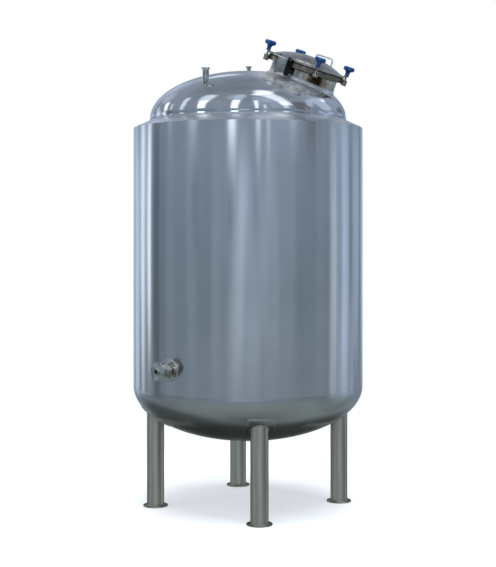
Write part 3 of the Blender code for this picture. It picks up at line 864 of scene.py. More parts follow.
@dataclass
class Shell:
    """The jacket round the tank: wall, spun bottom head and the sloping shoulder at its top."""

    radius: float = 0.700
    wall: float = 0.003
    bottom: float = 0.732
    top: float = 2.295
    depth: float = 0.330
    vessel_radius: float = 0.600
    shoulder_top: float = 2.343
    shoulder_sheet: float = 0.0033
    shoulder_lap: float = 0.0065
    weld: WeldBead = WeldBead(0.0036)
    weld_out: float = 0.0018
    weld_up: float = 0.0006
    weld_points: int = 2400
    segments: int = 288

    def head_height(self, radius: np.ndarray, offset: np.ndarray | float) -> np.ndarray:
        """The bottom head's height: a half ellipsoid, z = bottom - depth sqrt(1 - (r/R)^2).

        Args:
            radius: Distances from the tank's axis.
            offset: How far outside the head the surface lies.

        Returns:
            The heights.
        """
        across = radius / (self.radius + offset)
        return self.bottom - (self.depth + offset) * np.sqrt(1 - across ** 2)

    def wall_skin(self) -> Skin:
        """The upright wall, its top edge rolled in a little and its foot flush with the head."""
        section = tube_section(self.radius - self.wall, self.radius, self.bottom, self.top)
        return turned(section, self.segments, edge=0.0012)

    def head_skin(self) -> Skin:
        """The bottom head: an ellipsoid shell, rows by equal steps of t in r = R sin t.

        Returns:
            The closed surface.
        """
        t = np.linspace(0, math.pi / 2, 65)
        outer = np.stack([self.radius * np.sin(t), self.bottom - self.depth * np.cos(t)], -1)
        narrow = 1 - self.wall / self.radius
        inner = np.stack([outer[:, 0] * narrow, outer[:, 1] + self.wall * np.cos(t)], -1)
        return turned(np.concatenate([outer, inner[::-1]]), self.segments)

    def shoulder_skin(self) -> Skin:
        """The shoulder: a cone ring that slopes from the jacket up to the dome, softly edged.

        Returns:
            The closed surface.
        """
        inner, foot = self.vessel_radius + GAP, self.top + GAP
        corners = [
            (self.radius, foot), (inner, self.shoulder_top),
            (inner, self.shoulder_top - self.shoulder_sheet),
            (self.radius - self.shoulder_lap, foot),
        ]
        return turned(corners, self.segments, edge=0.0016)

    def build(self, palette: Palette) -> None:
        """Builds and dresses the jacket.

        Args:
            palette: The materials.
        """
        slot = "jacket_steel"
        palette.add("jacket_sheet", [self.wall_skin()], SATIN_SHEET, slot, "jacket_wall")
        palette.add("jacket_spun_head", [self.head_skin()], SPUN_HEAD, slot, "jacket_bottom_head")
        # The shoulder's near-white steel is painted light
        palette.add(
            "jacket_shoulder_sheet", [self.shoulder_skin()], PALE_SHEET, slot, "jacket_shoulder"
        )
        radius, height = self.vessel_radius + self.weld_out, self.shoulder_top + self.weld_up
        seam = ring_path(radius, height, self.weld_points)
        outward = seam * [1, 1, 0] / self.vessel_radius
        # The bead leans halfway between outward and up
        bead = self.weld.along(seam, outward * 0.7 + [0, 0, 0.7])
        palette.add("shoulder_weld", [bead], WELD_METAL, slot)


@dataclass
class Manway:
    """The place of the manway on the dome, and its neck, frame and seal."""

    radius: float = 0.365
    azimuth: float = 64.0
    height: float = 2.590
    tilt: float = 20.9
    neck: float = 0.203
    neck_wall: float = 0.004
    neck_bottom: float = -0.050
    frame_radius: float = 0.239
    frame_wall: float = 0.004
    frame_plate: float = 0.008
    frame_bottom: float = 0.045
    frame_top: float = 0.073
    seal: tuple[float, float] = (0.203, 0.231)
    seal_gap: float = 0.0002
    lid_bottom: float = 0.079
    segments: int = 192

    def matrix(self) -> Matrix:
        """The manway's frame: Z out along its axis, X to the right from the front, Y back.

        Returns:
            The frame.
        """
        turn, lean = math.radians(self.azimuth), math.radians(self.tilt)
        across = Vector((math.sin(turn), -math.cos(turn), 0.0))
        z_axis = across * math.sin(lean) + Vector((0.0, 0.0, math.cos(lean)))
        x_axis = Vector((0.0, 1.0, 0.0)).cross(z_axis).normalized()
        rotation = Matrix((x_axis, z_axis.cross(x_axis), z_axis)).transposed().to_4x4()
        return Matrix.Translation(across * self.radius + Vector((0.0, 0.0, self.height))) @ rotation

    def at(self, azimuth: float, radius: float, height: float) -> Matrix:
        """A frame on the manway, its X outward.

        Args:
            azimuth: The angle round the manway, in degrees.
            radius: The distance from its axis.
            height: The height along its axis.

        Returns:
            The frame.
        """
        turn = Matrix.Rotation(math.radians(azimuth), 4, "Z")
        return self.matrix() @ turn @ Matrix.Translation((radius, 0.0, height))

    def build(self, palette: Palette) -> None:
        """Builds and dresses the neck, the frame and the seal.

        Args:
            palette: The materials.
        """
        place, slot = self.matrix(), "fitting_steel"
        inner, plate = self.neck - self.neck_wall, self.frame_top - self.frame_plate
        tube = turned(
            tube_section(inner, self.neck, self.neck_bottom, plate), self.segments,
            edge=0.001, steps=2,
        )
        # The neck's dark brown patches and front spot are painted shade and reflection
        palette.add("neck_tube", [tube], TINTED_NECK, slot, "manway_neck", place=place)
        skirt = self.frame_radius - self.frame_wall
        corners = [
            (inner, self.frame_top), (inner, plate), (skirt, plate), (skirt, self.frame_bottom),
            (self.frame_radius, self.frame_bottom), (self.frame_radius, self.frame_top),
        ]
        ring = turned(corners, self.segments, edge=0.0014, steps=4)
        # The frame's darker, browner steel is painted shade
        palette.add("neck_frame", [ring], SMOKED_FRAME, slot, "manway_frame", place=place)
        low, high = self.frame_top + self.seal_gap, self.lid_bottom - self.seal_gap
        bulge = turned(
            tube_section(self.seal[1], self.seal[0], low, high), self.segments,
            edge=0.0026, steps=6,
        )
        palette.add("neck_seal", [bulge], BLACK_SEAL, "gasket_rubber", "manway_gasket", place=place)


@dataclass
class Dome:
    """The domed top head, with the hole that the manway's neck fills."""

    manway: Manway
    radius: float = 0.600
    bottom: float = 2.355
    rise: float = 0.290
    wall: float = 0.004
    cove: float = 0.024
    cove_lift: float = 0.0004
    cove_gap: float = 0.0005
    hole_gap: float = 0.0004
    weld: WeldBead = WeldBead(0.0016)
    weld_out: float = 0.0012
    weld_points: int = 900
    columns: int = 360
    rows: tuple[int, int] = (110, 40)

    def height(self, x: np.ndarray, y: np.ndarray, inset: float = 0.0) -> np.ndarray:
        """The dome's height: z = bottom + rise sqrt(1 - (x^2 + y^2) / R^2).

        Args:
            x: Places along X.
            y: Places along Y.
            inset: How far inside the outer surface.

        Returns:
            The heights.
        """
        across = (x ** 2 + y ** 2) / (self.radius - inset) ** 2
        return self.bottom + (self.rise - inset) * np.sqrt(np.clip(1 - across, 0, 1))

    def normal(self, points: np.ndarray) -> np.ndarray:
        """The dome's outward direction at points on it: each part over its half axis squared.

        Args:
            points: The points.

        Returns:
            Unit directions.
        """
        shape = np.array([self.radius, self.radius, self.rise]) ** 2
        return unit((points - [0, 0, self.bottom]) / shape)

    def seam(self, place: Matrix, radius: float, count: int) -> np.ndarray:
        """Where a round tube meets the dome.

        Each line of the tube, P + s N, is put into the ellipsoid's equation, and the greater root
        of that quadratic in s is where it leaves the dome.

        Args:
            place: The tube's frame, Z along its axis.
            radius: The tube's radius.
            count: How many points the seam has.

        Returns:
            The seam's points.
        """
        tube = np.array(place)
        start = ring_path(radius, 0.0, count) @ tube[:3, :3].T + tube[:3, 3]
        scale = 1 / np.array([self.radius, self.radius, self.rise])
        p, d = (start - [0, 0, self.bottom]) * scale, tube[:3, 2] * scale
        a, b, c = d @ d, 2 * p @ d, (p ** 2).sum(axis=1) - 1
        s = (-b + np.sqrt(b ** 2 - 4 * a * c)) / (2 * a)
        return start + s[:, None] * tube[:3, 2]

    def skin(self) -> Skin:
        """The dome's shell, on straight rays in plan from the hole's edge H to the rim E.

        A point's place in plan is H + (E - H) sin(pi t / 2), which crowds the rows where the dome
        is steep, and its height is the ellipsoid's. The outer surface runs from rim to hole and
        the inner one back.

        Returns:
            The closed surface.
        """
        manway = self.manway
        hole = self.seam(manway.matrix(), manway.neck + self.hole_gap, self.columns)[:, :2]
        centre = hole.mean(axis=0)
        ray = unit(hole - centre)
        half = ray @ centre
        reach = -half + np.sqrt(half ** 2 - centre @ centre + self.radius ** 2)
        rim = centre + ray * reach[:, None]
        layers = []
        for inset, rows in zip((0.0, self.wall), self.rows):
            t = np.sin(np.linspace(math.pi / 2, 0, rows))[:, None, None]
            edge = rim * (1 - inset / self.radius)
            plan = hole[None] + (edge - hole)[None] * t
            z = self.height(plan[..., 0], plan[..., 1], inset)
            layers.append(np.concatenate([plan, z[..., None]], axis=-1))
        return Skin(np.concatenate([layers[0], layers[1][::-1]]), loop_rows=True)

    def cove_skin(self) -> Skin:
        """The flared root of the neck, pulled up from the dome.

        Its section runs along a quadratic curve from D on the dome to N on the neck, each the
        cove's width from the corner C where the two meet, and back through C.

        Returns:
            The closed surface.
        """
        place = self.manway.matrix()
        corner = self.seam(place, self.manway.neck + self.cove_gap, self.columns)
        low = self.seam(place, self.manway.neck + self.cove, self.columns)
        low = low + self.cove_lift * self.normal(corner)
        high = corner + self.cove * np.array(place)[:3, 2]
        t = np.linspace(0, 1, 12)[:, None, None]
        return Skin(
            np.concatenate([curved(low, corner, high, t), corner[None]]), loop_rows=True
        )

    def build(self, palette: Palette) -> None:
        """Builds and dresses the dome, the neck's root and its weld.

        Args:
            palette: The materials.
        """
        palette.add("dome_head", [self.skin()], MIRROR_HEAD, "mirror_steel", "top_head")
        place = self.manway.matrix()
        seam = self.seam(place, self.manway.neck + self.weld_out, self.weld_points)
        out, middle = np.array(place)[:3, 2:].T
        bead = self.weld.along(seam + self.cove * out, unit(seam - middle))
        palette.add("neck_weld", [bead], WELD_METAL, "fitting_steel")
        palette.add("neck_root", [self.cove_skin()], MIRROR_HEAD, "fitting_steel")


@dataclass
class Vessel:
    """The inner vessel's wall and bottom, seen only through the open manway."""

    radius: float = 0.600
    wall: float = 0.004
    bottom: float = 0.800
    top: float = 2.3547
    depth: float = 0.260
    segments: int = 144

    def build(self, palette: Palette) -> None:
        """Builds and dresses the wall and the bottom, a half ellipsoid as the jacket's is.

        Args:
            palette: The materials.
        """
        slot, inner = "mirror_steel", self.radius - self.wall
        wall = turned(
            tube_section(inner, self.radius, self.bottom, self.top), self.segments,
            edge=0.001, steps=2,
        )
        palette.add("vessel_sheet", [wall], MIRROR_HEAD, slot, "vessel_wall")
        t, rim = np.linspace(0, math.pi / 2, 25), self.bottom - GAP
        outer = np.stack([self.radius * np.sin(t), rim - self.depth * np.cos(t)], -1)
        inside = np.stack([inner * np.sin(t), rim - (self.depth - self.wall) * np.cos(t)], -1)
        dish = turned(np.concatenate([outer, inside[::-1]]), self.segments)
        palette.add("vessel_dish", [dish], MIRROR_HEAD, slot, "vessel_bottom_head")


@dataclass
class Leg:
    """One leg: its tube, foot disc and pad, and the welds that join them."""

    shell: Shell
    number: int
    circle: float = 0.566
    first: float = 6.6
    radius: float = 0.052
    wall: float = 0.003
    foot_radius: float = 0.075
    foot_thickness: float = 0.008
    pad_half: float = 0.086
    squareness: float = 6.0
    pad_gap: float = 0.0010
    pad_thickness: float = 0.004
    bead: WeldBead = WeldBead(0.0032, 0.7)
    bead_top: tuple[float, float] = (0.0015, 0.0010)
    bead_foot: tuple[float, float] = (0.0012, 0.0012)
    bead_points: int = 420
    pad_bead: WeldBead = WeldBead(0.0016, 0.7)
    pad_bead_seat: tuple[float, float] = (0.0010, 0.0012)
    pad_bead_points: int = 900
    segments: int = 96

    def centre(self) -> np.ndarray:
        """Where the leg stands, in plan."""
        turn = math.radians(self.first + 90 * (self.number - 1))
        return np.array([self.circle * math.sin(turn), -self.circle * math.cos(turn)])

    def lapped(self, reach: float, offset: float, count: int) -> np.ndarray:
        """A round ring about the leg that lies along the bottom head.

        Args:
            reach: The ring's radius.
            offset: Its distance outside the head.
            count: How many points it has.

        Returns:
            The ring's points.
        """
        angle = angles(count)[None]
        return self.on_head(reach * np.cos(angle), reach * np.sin(angle), offset)[0]

    def squared(self, reach: np.ndarray, offset: np.ndarray | float, count: int) -> np.ndarray:
        """Rings along the bottom head in the pad's rounded square, which faces outward.

        Each ring is the curve |x|^p + |y|^p = reach^p, with p the squareness: at angle a it lies
        at reach / (|cos a|^p + |sin a|^p)^(1/p).

        Args:
            reach: Half each ring's width.
            offset: Each ring's distance outside the head.
            count: How many points a ring has.

        Returns:
            Rings by points by three.
        """
        angle = angles(count)
        p = self.squareness
        grow = (np.abs(np.cos(angle)) ** p + np.abs(np.sin(angle)) ** p) ** (-1 / p)
        facing = math.atan2(*self.centre()[::-1])
        dx, dy = grow * np.cos(angle + facing), grow * np.sin(angle + facing)
        return self.on_head(np.outer(reach, dx), np.outer(reach, dy), offset)

    def on_head(self, dx: np.ndarray, dy: np.ndarray, offset: np.ndarray | float) -> np.ndarray:
        """Lifts points in plan onto a surface outside the bottom head.

        Args:
            dx: Places along X from the leg's centre, rings by points.
            dy: Places along Y from it.
            offset: Each ring's distance outside the head.

        Returns:
            Rings by points by three.
        """
        x, y = self.centre()[0] + dx, self.centre()[1] + dy
        out = np.broadcast_to(np.asarray(offset, float), dx.shape[:1])[:, None]
        return np.stack([x, y, self.shell.head_height(np.hypot(x, y), out)], axis=-1)

    def tube_skin(self) -> Skin:
        """The tube, its rows running from the foot up to the pad that its top is cut to.

        Returns:
            The closed surface.
        """
        outside = self.pad_gap + self.pad_thickness + GAP
        foot = self.foot_thickness + GAP
        inner = self.radius - self.wall
        rings = []
        for radius, share in ((self.radius, 0), (self.radius, 1), (inner, 1), (inner, 0)):
            ring = self.lapped(radius, outside, self.segments)
            ring[:, 2] = foot + (ring[:, 2] - foot) * share
            rings.append(ring)
        return Skin(np.stack(rings), loop_rows=True)

    def pad_skin(self) -> Skin:
        """The pad: two surfaces along the head, joined by a rim of quarter circles.

        Returns:
            The closed surface.
        """
        turn = np.linspace(0, math.pi, 7)
        half = self.pad_thickness / 2
        flat = np.linspace(0, self.pad_half - half, 12)[:-1]
        low = np.full(len(flat), self.pad_gap)
        reach = [flat, self.pad_half - half + half * np.sin(turn), flat[::-1]]
        offset = [low, self.pad_gap + half - half * np.cos(turn), low + self.pad_thickness]
        return Skin(
            self.squared(np.concatenate(reach), np.concatenate(offset), 2 * self.segments)
        )

    def weld_skins(self) -> list[Skin]:
        """The beads at the tube's top, round the pad and at the tube's foot.

        Each one's seat is how far out it lies from the tube or the pad, and how far from the
        pad, the head or the foot. It leans outward, and by its lift up or down.

        Returns:
            The three beads.
        """
        middle = np.array([*self.centre(), 0.0])
        out, off = self.bead_top
        pad = self.pad_gap + self.pad_thickness
        top = self.lapped(self.radius + out, pad + off, self.bead_points)
        out, off = self.pad_bead_seat
        rim = self.squared(np.array([self.pad_half + out]), off, self.pad_bead_points)[0]
        out, off = self.bead_foot
        low = ring_path(self.radius + out, self.foot_thickness + off, self.bead_points) + middle
        seams = ((self.bead, top, -1), (self.pad_bead, rim, -0.5), (self.bead, low, 1))
        return [
            bead.along(path, unit((path - middle) * [1, 1, 0]) + [0, 0, lift])
            for bead, path, lift in seams
        ]

    def build(self, palette: Palette) -> None:
        """Builds and dresses the leg.

        Args:
            palette: The materials.
        """
        k, slot = self.number, "leg_steel"
        place = Matrix.Translation((*self.centre(), 0.0))
        # The leg tube's dark edge tint is painted shade on its grazing sides
        palette.add(f"leg_tube_{k}", [self.tube_skin()], GROUND_TUBE, slot, f"leg_{k}")
        disc = turned(
            rectangle(0, self.foot_radius, 0, self.foot_thickness), self.segments, edge=0.0015
        )
        palette.add(f"leg_foot_{k}", [disc], GROUND_TUBE, slot, f"foot_plate_{k}", place=place)
        palette.add(
            f"leg_saddle_{k}", [self.pad_skin()], SPUN_HEAD, "jacket_steel", f"leg_pad_{k}"
        )
        palette.add(f"leg_welds_{k}", self.weld_skins(), GROUND_TUBE, slot)


@dataclass
class Lid:
    """The manway's lid with its tabs, its handle and the strap of its hinge."""

    manway: Manway
    rim: float = 0.239
    thickness: float = 0.011
    apex: float = 0.140
    dish: float = 0.215
    dish_wall: float = 0.0043
    tab: float = 0.2465
    tab_half: float = 5.2
    tab_slope: float = 0.8
    tabs: tuple[float, ...] = (13.9, 103.9, 193.9, 283.9)
    handle_azimuth: float = 58.9
    handle_radius: float = 0.170
    handle_half: float = 0.060
    handle_height: float = 0.052
    handle_bend: float = 0.018
    handle_sunk: float = 0.003
    rod: float = 0.005
    rod_bead: WeldBead = WeldBead(0.0018, 0.8, 0.1, 0.0025)
    rod_bead_out: float = 0.0006
    rod_bead_up: float = 0.0004
    hinge_azimuth: float = 240.9
    hinge_radius: float = 0.270
    hinge_height: float = 0.083
    arm_half: float = 0.0285
    arm_start: float = 0.2165
    knuckle: float = 0.012
    segments: int = 360

    @property
    def top(self) -> float:
        """The height of the rim's upper side on the manway's axis."""
        return self.manway.lid_bottom + self.thickness

    def dish_height(self, radius: np.ndarray | float) -> np.ndarray | float:
        """The dish's height: a sphere's cap, z = apex - S + sqrt(S^2 - r^2).

        Args:
            radius: Distances from the lid's axis.

        Returns:
            The heights.
        """
        rise = self.apex - self.manway.lid_bottom - self.thickness
        sphere = (self.dish ** 2 + rise ** 2) / (2 * rise)
        return self.apex - sphere + np.sqrt(sphere ** 2 - np.asarray(radius) ** 2)

    def lid_skin(self) -> Skin:
        """The lid: a turned profile whose rim steps out at each tab.

        The rim reaches r = R + (tab - R) b(a), where b = s^2 (3 - 2 s) and s falls from one to
        zero over the tab's slope, past half its width.

        Returns:
            The closed surface.
        """
        low = self.manway.lid_bottom
        inner = self.manway.neck - self.manway.neck_wall
        cap = np.linspace(0, self.dish, 40)
        outer = np.stack([cap, self.dish_height(cap)], -1)
        corners = [(self.dish, self.top), (self.rim, self.top), (self.rim, low), (inner, low)]
        rim = rounded(corners, reach=0.002, steps=5, closed=False)
        under = np.linspace(inner - 0.004, 0, 24)
        inside = np.stack([under, self.dish_height(under) - self.dish_wall], -1)
        profile = np.concatenate([outer, rim[1:], inside])
        away = np.exp(1j * (angles(self.segments)[:, None] - np.radians(self.tabs)[None]))
        apart = np.degrees(np.abs(np.angle(away))).min(axis=1)
        step = np.clip((self.tab_half + self.tab_slope - apart) / self.tab_slope, 0, 1)
        reach = (self.tab - self.rim) * step ** 2 * (3 - 2 * step)
        # The profile widens from the dish outwards, and its inside not at all
        grow = np.clip((profile[:, 0] - self.dish) / (self.rim - 0.004 - self.dish), 0, 1)
        grow[len(outer) + len(rim) - 1:] = 0
        return Skin(wrapped(profile[:, :1] + grow[:, None] * reach[None], profile[:, 1:]))

    def handle_skins(self) -> list[Skin]:
        """The bent rod, and the small weld round each of its feet.

        Returns:
            The rod and the two welds.
        """
        seat = float(self.dish_height(self.handle_radius))
        half, low, high = self.handle_half, seat - self.handle_sunk, seat + self.handle_height
        corners = [(-half, low), (-half, high), (half, high), (half, low)]
        y, z = rounded(corners, self.handle_bend, steps=16, closed=False).T
        path = np.stack([np.full(len(y), self.handle_radius), y, z], axis=-1)
        skins = [swept(path, self.rod, sides=20, closed=False, up=np.array([1.0, 0.0, 0.0]))]
        for side in (-1, 1):
            ring = ring_path(self.rod + self.rod_bead_out, 0.0, 90)
            ring += [self.handle_radius, side * half, 0]
            seat = self.dish_height(np.hypot(ring[:, 0], ring[:, 1]))
            ring[:, 2] = seat + self.rod_bead_up
            skins.append(self.rod_bead.along(ring, np.array([0.0, 0.0, 1.0])))
        return skins

    def arm_skin(self) -> Skin:
        """The strap from the rim to the hinge pin and the knuckle round the pin.

        Returns:
            The closed surface.
        """
        low = self.top + GAP - self.hinge_height
        start = self.arm_start - self.hinge_radius
        turn = np.linspace(math.pi - math.asin(low / self.knuckle), TURN + math.pi / 2, 40)
        nose = np.stack([self.knuckle * np.cos(turn), self.knuckle * np.sin(turn)], -1)
        corners = [(0.0, self.knuckle), (start, self.knuckle), (start, low)]
        strap = rounded(corners, reach=0.0015, closed=False)
        outline = np.concatenate([strap, nose])
        return slab(outline, -self.arm_half, self.arm_half, edge=0.0012)

    def build(self, palette: Palette) -> None:
        """Builds and dresses the lid, its handle and its strap.

        Args:
            palette: The materials.
        """
        slot, at = "fitting_steel", self.manway.at
        palette.add(
            "lid_dish", [self.lid_skin()], BUFFED_FITTING, slot, "manway_lid", body="lid",
            place=self.manway.matrix(),
        )
        # The handle rod's near-white steel is painted light
        palette.add(
            "lid_handle_rod", self.handle_skins(), PALE_SHEET, slot, "lid_handle", body="lid",
            place=at(self.handle_azimuth, 0.0, 0.0),
        )
        palette.add(
            "lid_strap", [self.arm_skin()], BUFFED_FITTING, slot, "lid_hinge_arm", body="lid",
            place=at(self.hinge_azimuth, self.hinge_radius, self.hinge_height),
        )


@dataclass
class Hinge:
    """The hinge's bracket on the manway's frame, and its pin."""

    manway: Manway
    lid: Lid
    half: float = 0.036
    cheek: float = 0.006
    plate: float = 0.004
    plate_play: float = 0.0005
    plate_fold: float = 0.007
    plate_end: float = 0.3
    inner: float = 0.2375
    outer: float = 0.300
    low: float = -0.012
    high: float = 0.097
    big_corner: float = 0.028
    small_corner: float = 0.016
    pin: float = 0.006
    pin_head: float = 0.009
    pin_head_thickness: float = 0.003

    def sides(self) -> tuple[float, float, float, float]:
        """The cheek's inner, outer, low and high sides, from the pin."""
        radius, height = self.lid.hinge_radius, self.lid.hinge_height
        return self.inner - radius, self.outer - radius, self.low - height, self.high - height

    def outline(self) -> np.ndarray:
        """A cheek's outline: a rectangle with two large and two smaller corners, quarter circles.

        Returns:
            The (x, z) outline, about the pin.
        """
        inner, outer, low, high = self.sides()
        big, small = self.big_corner, self.small_corner
        parts = []
        for x, z, radius, start in (
            (inner + big, low + big, big, 180), (outer - small, low + small, small, 270),
            (outer - small, high - small, small, 0), (inner + big, high - big, big, 90),
        ):
            turn = np.radians(np.linspace(start, start + 90, 12))
            parts.append(np.stack([x + radius * np.cos(turn), z + radius * np.sin(turn)], -1))
        return np.concatenate(parts)

    def plate_outline(self) -> np.ndarray:
        """The folded plate's outline: the strip between the cheeks along their outer side.

        Returns:
            The (x, z) outline, about the pin.
        """
        outer, low, high = self.sides()[1:]
        bottom = low + self.small_corner * self.plate_end
        top = high - self.small_corner * self.plate_end
        back, fold = outer - self.plate, self.plate_fold
        corners = [(outer, bottom + fold), (outer, top - fold), (back, top), (back, bottom)]
        return rounded(corners, reach=0.003, steps=3)

    def build(self, palette: Palette) -> None:
        """Builds and dresses the bracket and the pin.

        Args:
            palette: The materials.
        """
        lid, half, slot = self.lid, self.half, "fitting_steel"
        place = self.manway.at(lid.hinge_azimuth, lid.hinge_radius, lid.hinge_height)
        cheek = self.outline()
        cheeks = [
            slab(cheek, -half, -half + self.cheek, edge=0.0012),
            slab(cheek, half - self.cheek, half, edge=0.0012),
        ]
        # The cheeks' near-black steel is painted shade
        palette.add("hinge_cheeks", cheeks, SCALED_CHEEK, slot, "hinge_bracket", place=place)
        between = half - self.plate_play
        plate = slab(self.plate_outline(), -between, between, edge=0.0008)
        palette.add("hinge_plate", [plate], BUFFED_FITTING, slot, place=place)
        pin = pin_skin(self.pin, half + GAP, self.pin_head, self.pin_head_thickness)
        palette.add("hinge_rod", [pin], BUFFED_FITTING, slot, "hinge_pin", place=place)


def pin_skin(radius: float, half: float, head: float, thickness: float) -> Skin:
    """A pin along Y with a softly edged head at each end.

    Args:
        radius: The shank's radius.
        half: Half the shank's length.
        head: The heads' radius.
        thickness: The heads' thickness.

    Returns:
        The closed surface.
    """
    end = half + thickness
    corners = [
        (0, -end), (head, -end), (head, -half), (radius, -half),
        (radius, half), (head, half), (head, end), (0, end),
    ]
    return turned(corners, 40, edge=0.0009).placed(ALONG_Y)


# The star knob's profile: height, the round part's radius and the lobes' reach
KNOB_PROFILE = np.array([
    (0.0, 0.0, 0.0), (0.0, 0.0118, 0.0), (0.0010, 0.0130, 0.0),
    (0.006, 0.0128, 0.0), (0.018, 0.0128, 0.0004), (0.026, 0.0145, 0.0012),
    (0.0300, 0.0180, 0.0040), (0.0318, 0.0205, 0.0072), (0.0340, 0.0232, 0.0090),
    (0.0370, 0.0247, 0.0099), (0.0410, 0.0250, 0.0100), (0.0480, 0.0250, 0.0100),
    (0.0520, 0.0246, 0.0098), (0.0550, 0.0230, 0.0090), (0.0570, 0.0200, 0.0070),
    (0.0576, 0.0165, 0.0045), (0.0566, 0.0120, 0.0015), (0.0560, 0.0070, 0.0),
    (0.0566, 0.0030, 0.0), (0.0566, 0.0, 0.0),
])


@dataclass
class SwingBolt:
    """A bolt that holds the lid: its forked lug, pin, threaded bolt with washer, and star knob."""

    manway: Manway
    lid: Lid
    number: int
    circle: float = 0.255
    first: float = 13.9
    pivot: float = 0.045
    shank: float = 0.006
    end: float = 0.118
    eye: float = 0.011
    eye_bore: float = 0.0053
    eye_half: float = 0.006
    washer: float = 0.016
    washer_thickness: float = 0.005
    lug_half: float = 0.014
    lug_slot: float = 0.0075
    lug_plate: float = 0.0032
    nose: float = 0.012
    lug_high: float = 0.024
    pin: float = 0.005
    pin_head: float = 0.0065
    pin_head_thickness: float = 0.003
    pitch: float = 0.002
    pitch_rows: int = 6
    thread_depth: float = 0.0007
    thread_low: float = 0.008
    thread_tip: float = 0.0005
    lobes: int = 5
    knob: np.ndarray = field(default_factory=KNOB_PROFILE.copy)

    def lug_skins(self) -> list[Skin]:
        """The two ears and the back plate that joins them on the frame's skirt.

        Returns:
            The three surfaces.
        """
        back = self.manway.frame_radius + GAP - self.circle
        face = back + self.lug_plate
        ear = rounded(rectangle(back, self.nose, -self.nose, self.lug_high), reach=0.0035)
        plate = rectangle(back, face, -self.nose / 2, self.lug_high)
        plate = rounded(plate, reach=0.0006, steps=2)
        return [
            slab(ear, -self.lug_half, -self.lug_slot, edge=0.0009),
            slab(ear, self.lug_slot, self.lug_half, edge=0.0009),
            slab(plate, -self.lug_half, self.lug_half, edge=0.0006),
        ]

    def thread_skin(self, low: float, high: float) -> Skin:
        """A threaded rod: r = shank - d |2 f - 1|, with f the share of a turn, z / pitch - a.

        Args:
            low: The rod's lower end, above the pivot.
            high: Its upper end.

        Returns:
            The closed surface.
        """
        z = np.arange(low, high, self.pitch / self.pitch_rows)
        f = (z[:, None] / self.pitch - angles(24)[None] / TURN) % 1.0
        radius = self.shank - self.thread_depth * np.abs(2 * f - 1)
        rows = wrapped(radius, z[:, None])
        ends = [np.broadcast_to([0.0, 0.0, level], rows[:1].shape) for level in (z[0], z[-1])]
        return Skin(np.concatenate([ends[0], rows, ends[1]]))

    def bolt_skins(self) -> list[Skin]:
        """The eye, the threaded shank and the washer that bears on the lid's tab.

        Returns:
            The three surfaces.
        """
        low = self.lid.top + GAP - self.pivot
        eye = rectangle(self.eye_bore, self.eye, -self.eye_half, self.eye_half)
        disc = rectangle(0, self.washer, low, low + self.washer_thickness)
        return [
            turned(eye, 40, edge=0.001).placed(ALONG_Y),
            self.thread_skin(self.thread_low, self.end - self.pivot - self.thread_tip),
            turned(disc, 48, edge=0.001),
        ]

    def knob_skin(self) -> Skin:
        """The star knob: r = b + l ((1 + cos 5a) / 2)^0.8, with b and l from its profile.

        Each step of the profile is cut into four, and each point but the two ends then becomes a
        quarter of each neighbour and half of itself.

        Returns:
            The closed surface.
        """
        steps = np.arange(len(self.knob))
        s = np.linspace(0, steps[-1], 4 * steps[-1] + 1)
        fine = np.stack([np.interp(s, steps, column) for column in self.knob.T], axis=-1)
        fine[1:-1] = (fine[:-2] + 2 * fine[1:-1] + fine[2:]) / 4
        swell = ((1 + np.cos(self.lobes * angles(120))) / 2) ** 0.8
        return Skin(wrapped(fine[:, 1:2] + fine[:, 2:3] * swell[None], fine[:, :1]))

    def build(self, palette: Palette) -> None:
        """Builds and dresses the lug, pin, bolt and knob.

        Args:
            palette: The materials.
        """
        k, slot = self.number, "fitting_steel"
        azimuth = self.first + 90 * (k - 1)
        place = self.manway.at(azimuth, self.circle, self.pivot)
        palette.add(
            f"bolt_fork_{k}", self.lug_skins(), CAST_FORK, slot, f"bolt_lug_{k}", place=place
        )
        pin = pin_skin(self.pin, self.lug_half + GAP, self.pin_head, self.pin_head_thickness)
        palette.add(f"fork_pin_{k}", [pin], CAST_FORK, slot, f"lug_pin_{k}", place=place)
        palette.add(
            f"eye_bolt_{k}", self.bolt_skins(), BUFFED_FITTING, slot, f"swing_bolt_{k}",
            body=f"bolt_{k}", place=place,
        )
        base = self.lid.top + self.washer_thickness + 2 * GAP
        palette.add(
            f"star_knob_{k}", [self.knob_skin()], BLUE_NYLON, "knob_plastic", f"knob_{k}",
            body=f"star_{k}", place=self.manway.at(azimuth, self.circle, base), sharp=60.0,
        )


@dataclass
class TopNozzle:
    """A ferruled pipe on the dome, with its weld."""

    dome: Dome
    name: str
    packed: str
    x: float
    y: float
    pipe: float
    ferrule: float
    top: float
    wall: float = 0.0015
    sunk: float = 0.030
    cone: tuple[float, float] = (0.011, 0.007)
    groove_half: tuple[float, float] = (0.0022, 0.0012)
    groove_depth: float = 0.0014
    weld_out: float = 0.0008

    def profile(self) -> Corners:
        """The pipe's section: its outside, the cone under the ferrule, the groove and its bore.

        Returns:
            Radius and height of each corner.
        """
        seat = float(self.dome.height(np.array(self.x), np.array(self.y)))
        low, inside, top = seat - self.sunk, self.pipe - self.wall, self.top
        groove, floor = (self.ferrule + inside) / 2, top - self.groove_depth
        wide, narrow = self.groove_half
        return [
            (self.pipe, low), (self.pipe, top - self.cone[0]), (self.ferrule, top - self.cone[1]),
            (self.ferrule, top), (groove + wide, top), (groove + narrow, floor),
            (groove - narrow, floor), (groove - wide, top), (inside, top), (inside, low),
        ]

    def build(self, palette: Palette) -> None:
        """Builds and dresses the nozzle.

        Args:
            palette: The materials.
        """
        slot, place = "fitting_steel", Matrix.Translation((self.x, self.y, 0.0))
        pipe = turned(self.profile(), segments=96, edge=0.0006)
        palette.add(self.name, [pipe], POLISHED_TUBE, slot, self.packed, place=place)
        seam = self.dome.seam(place, self.pipe + self.weld_out, count=240)
        outward = unit((seam - [self.x, self.y, 0]) * [1, 1, 0])
        bead = NOZZLE_BEAD.along(seam, outward + self.dome.normal(seam))
        palette.add(self.name + "_weld", [bead], WELD_METAL, slot)


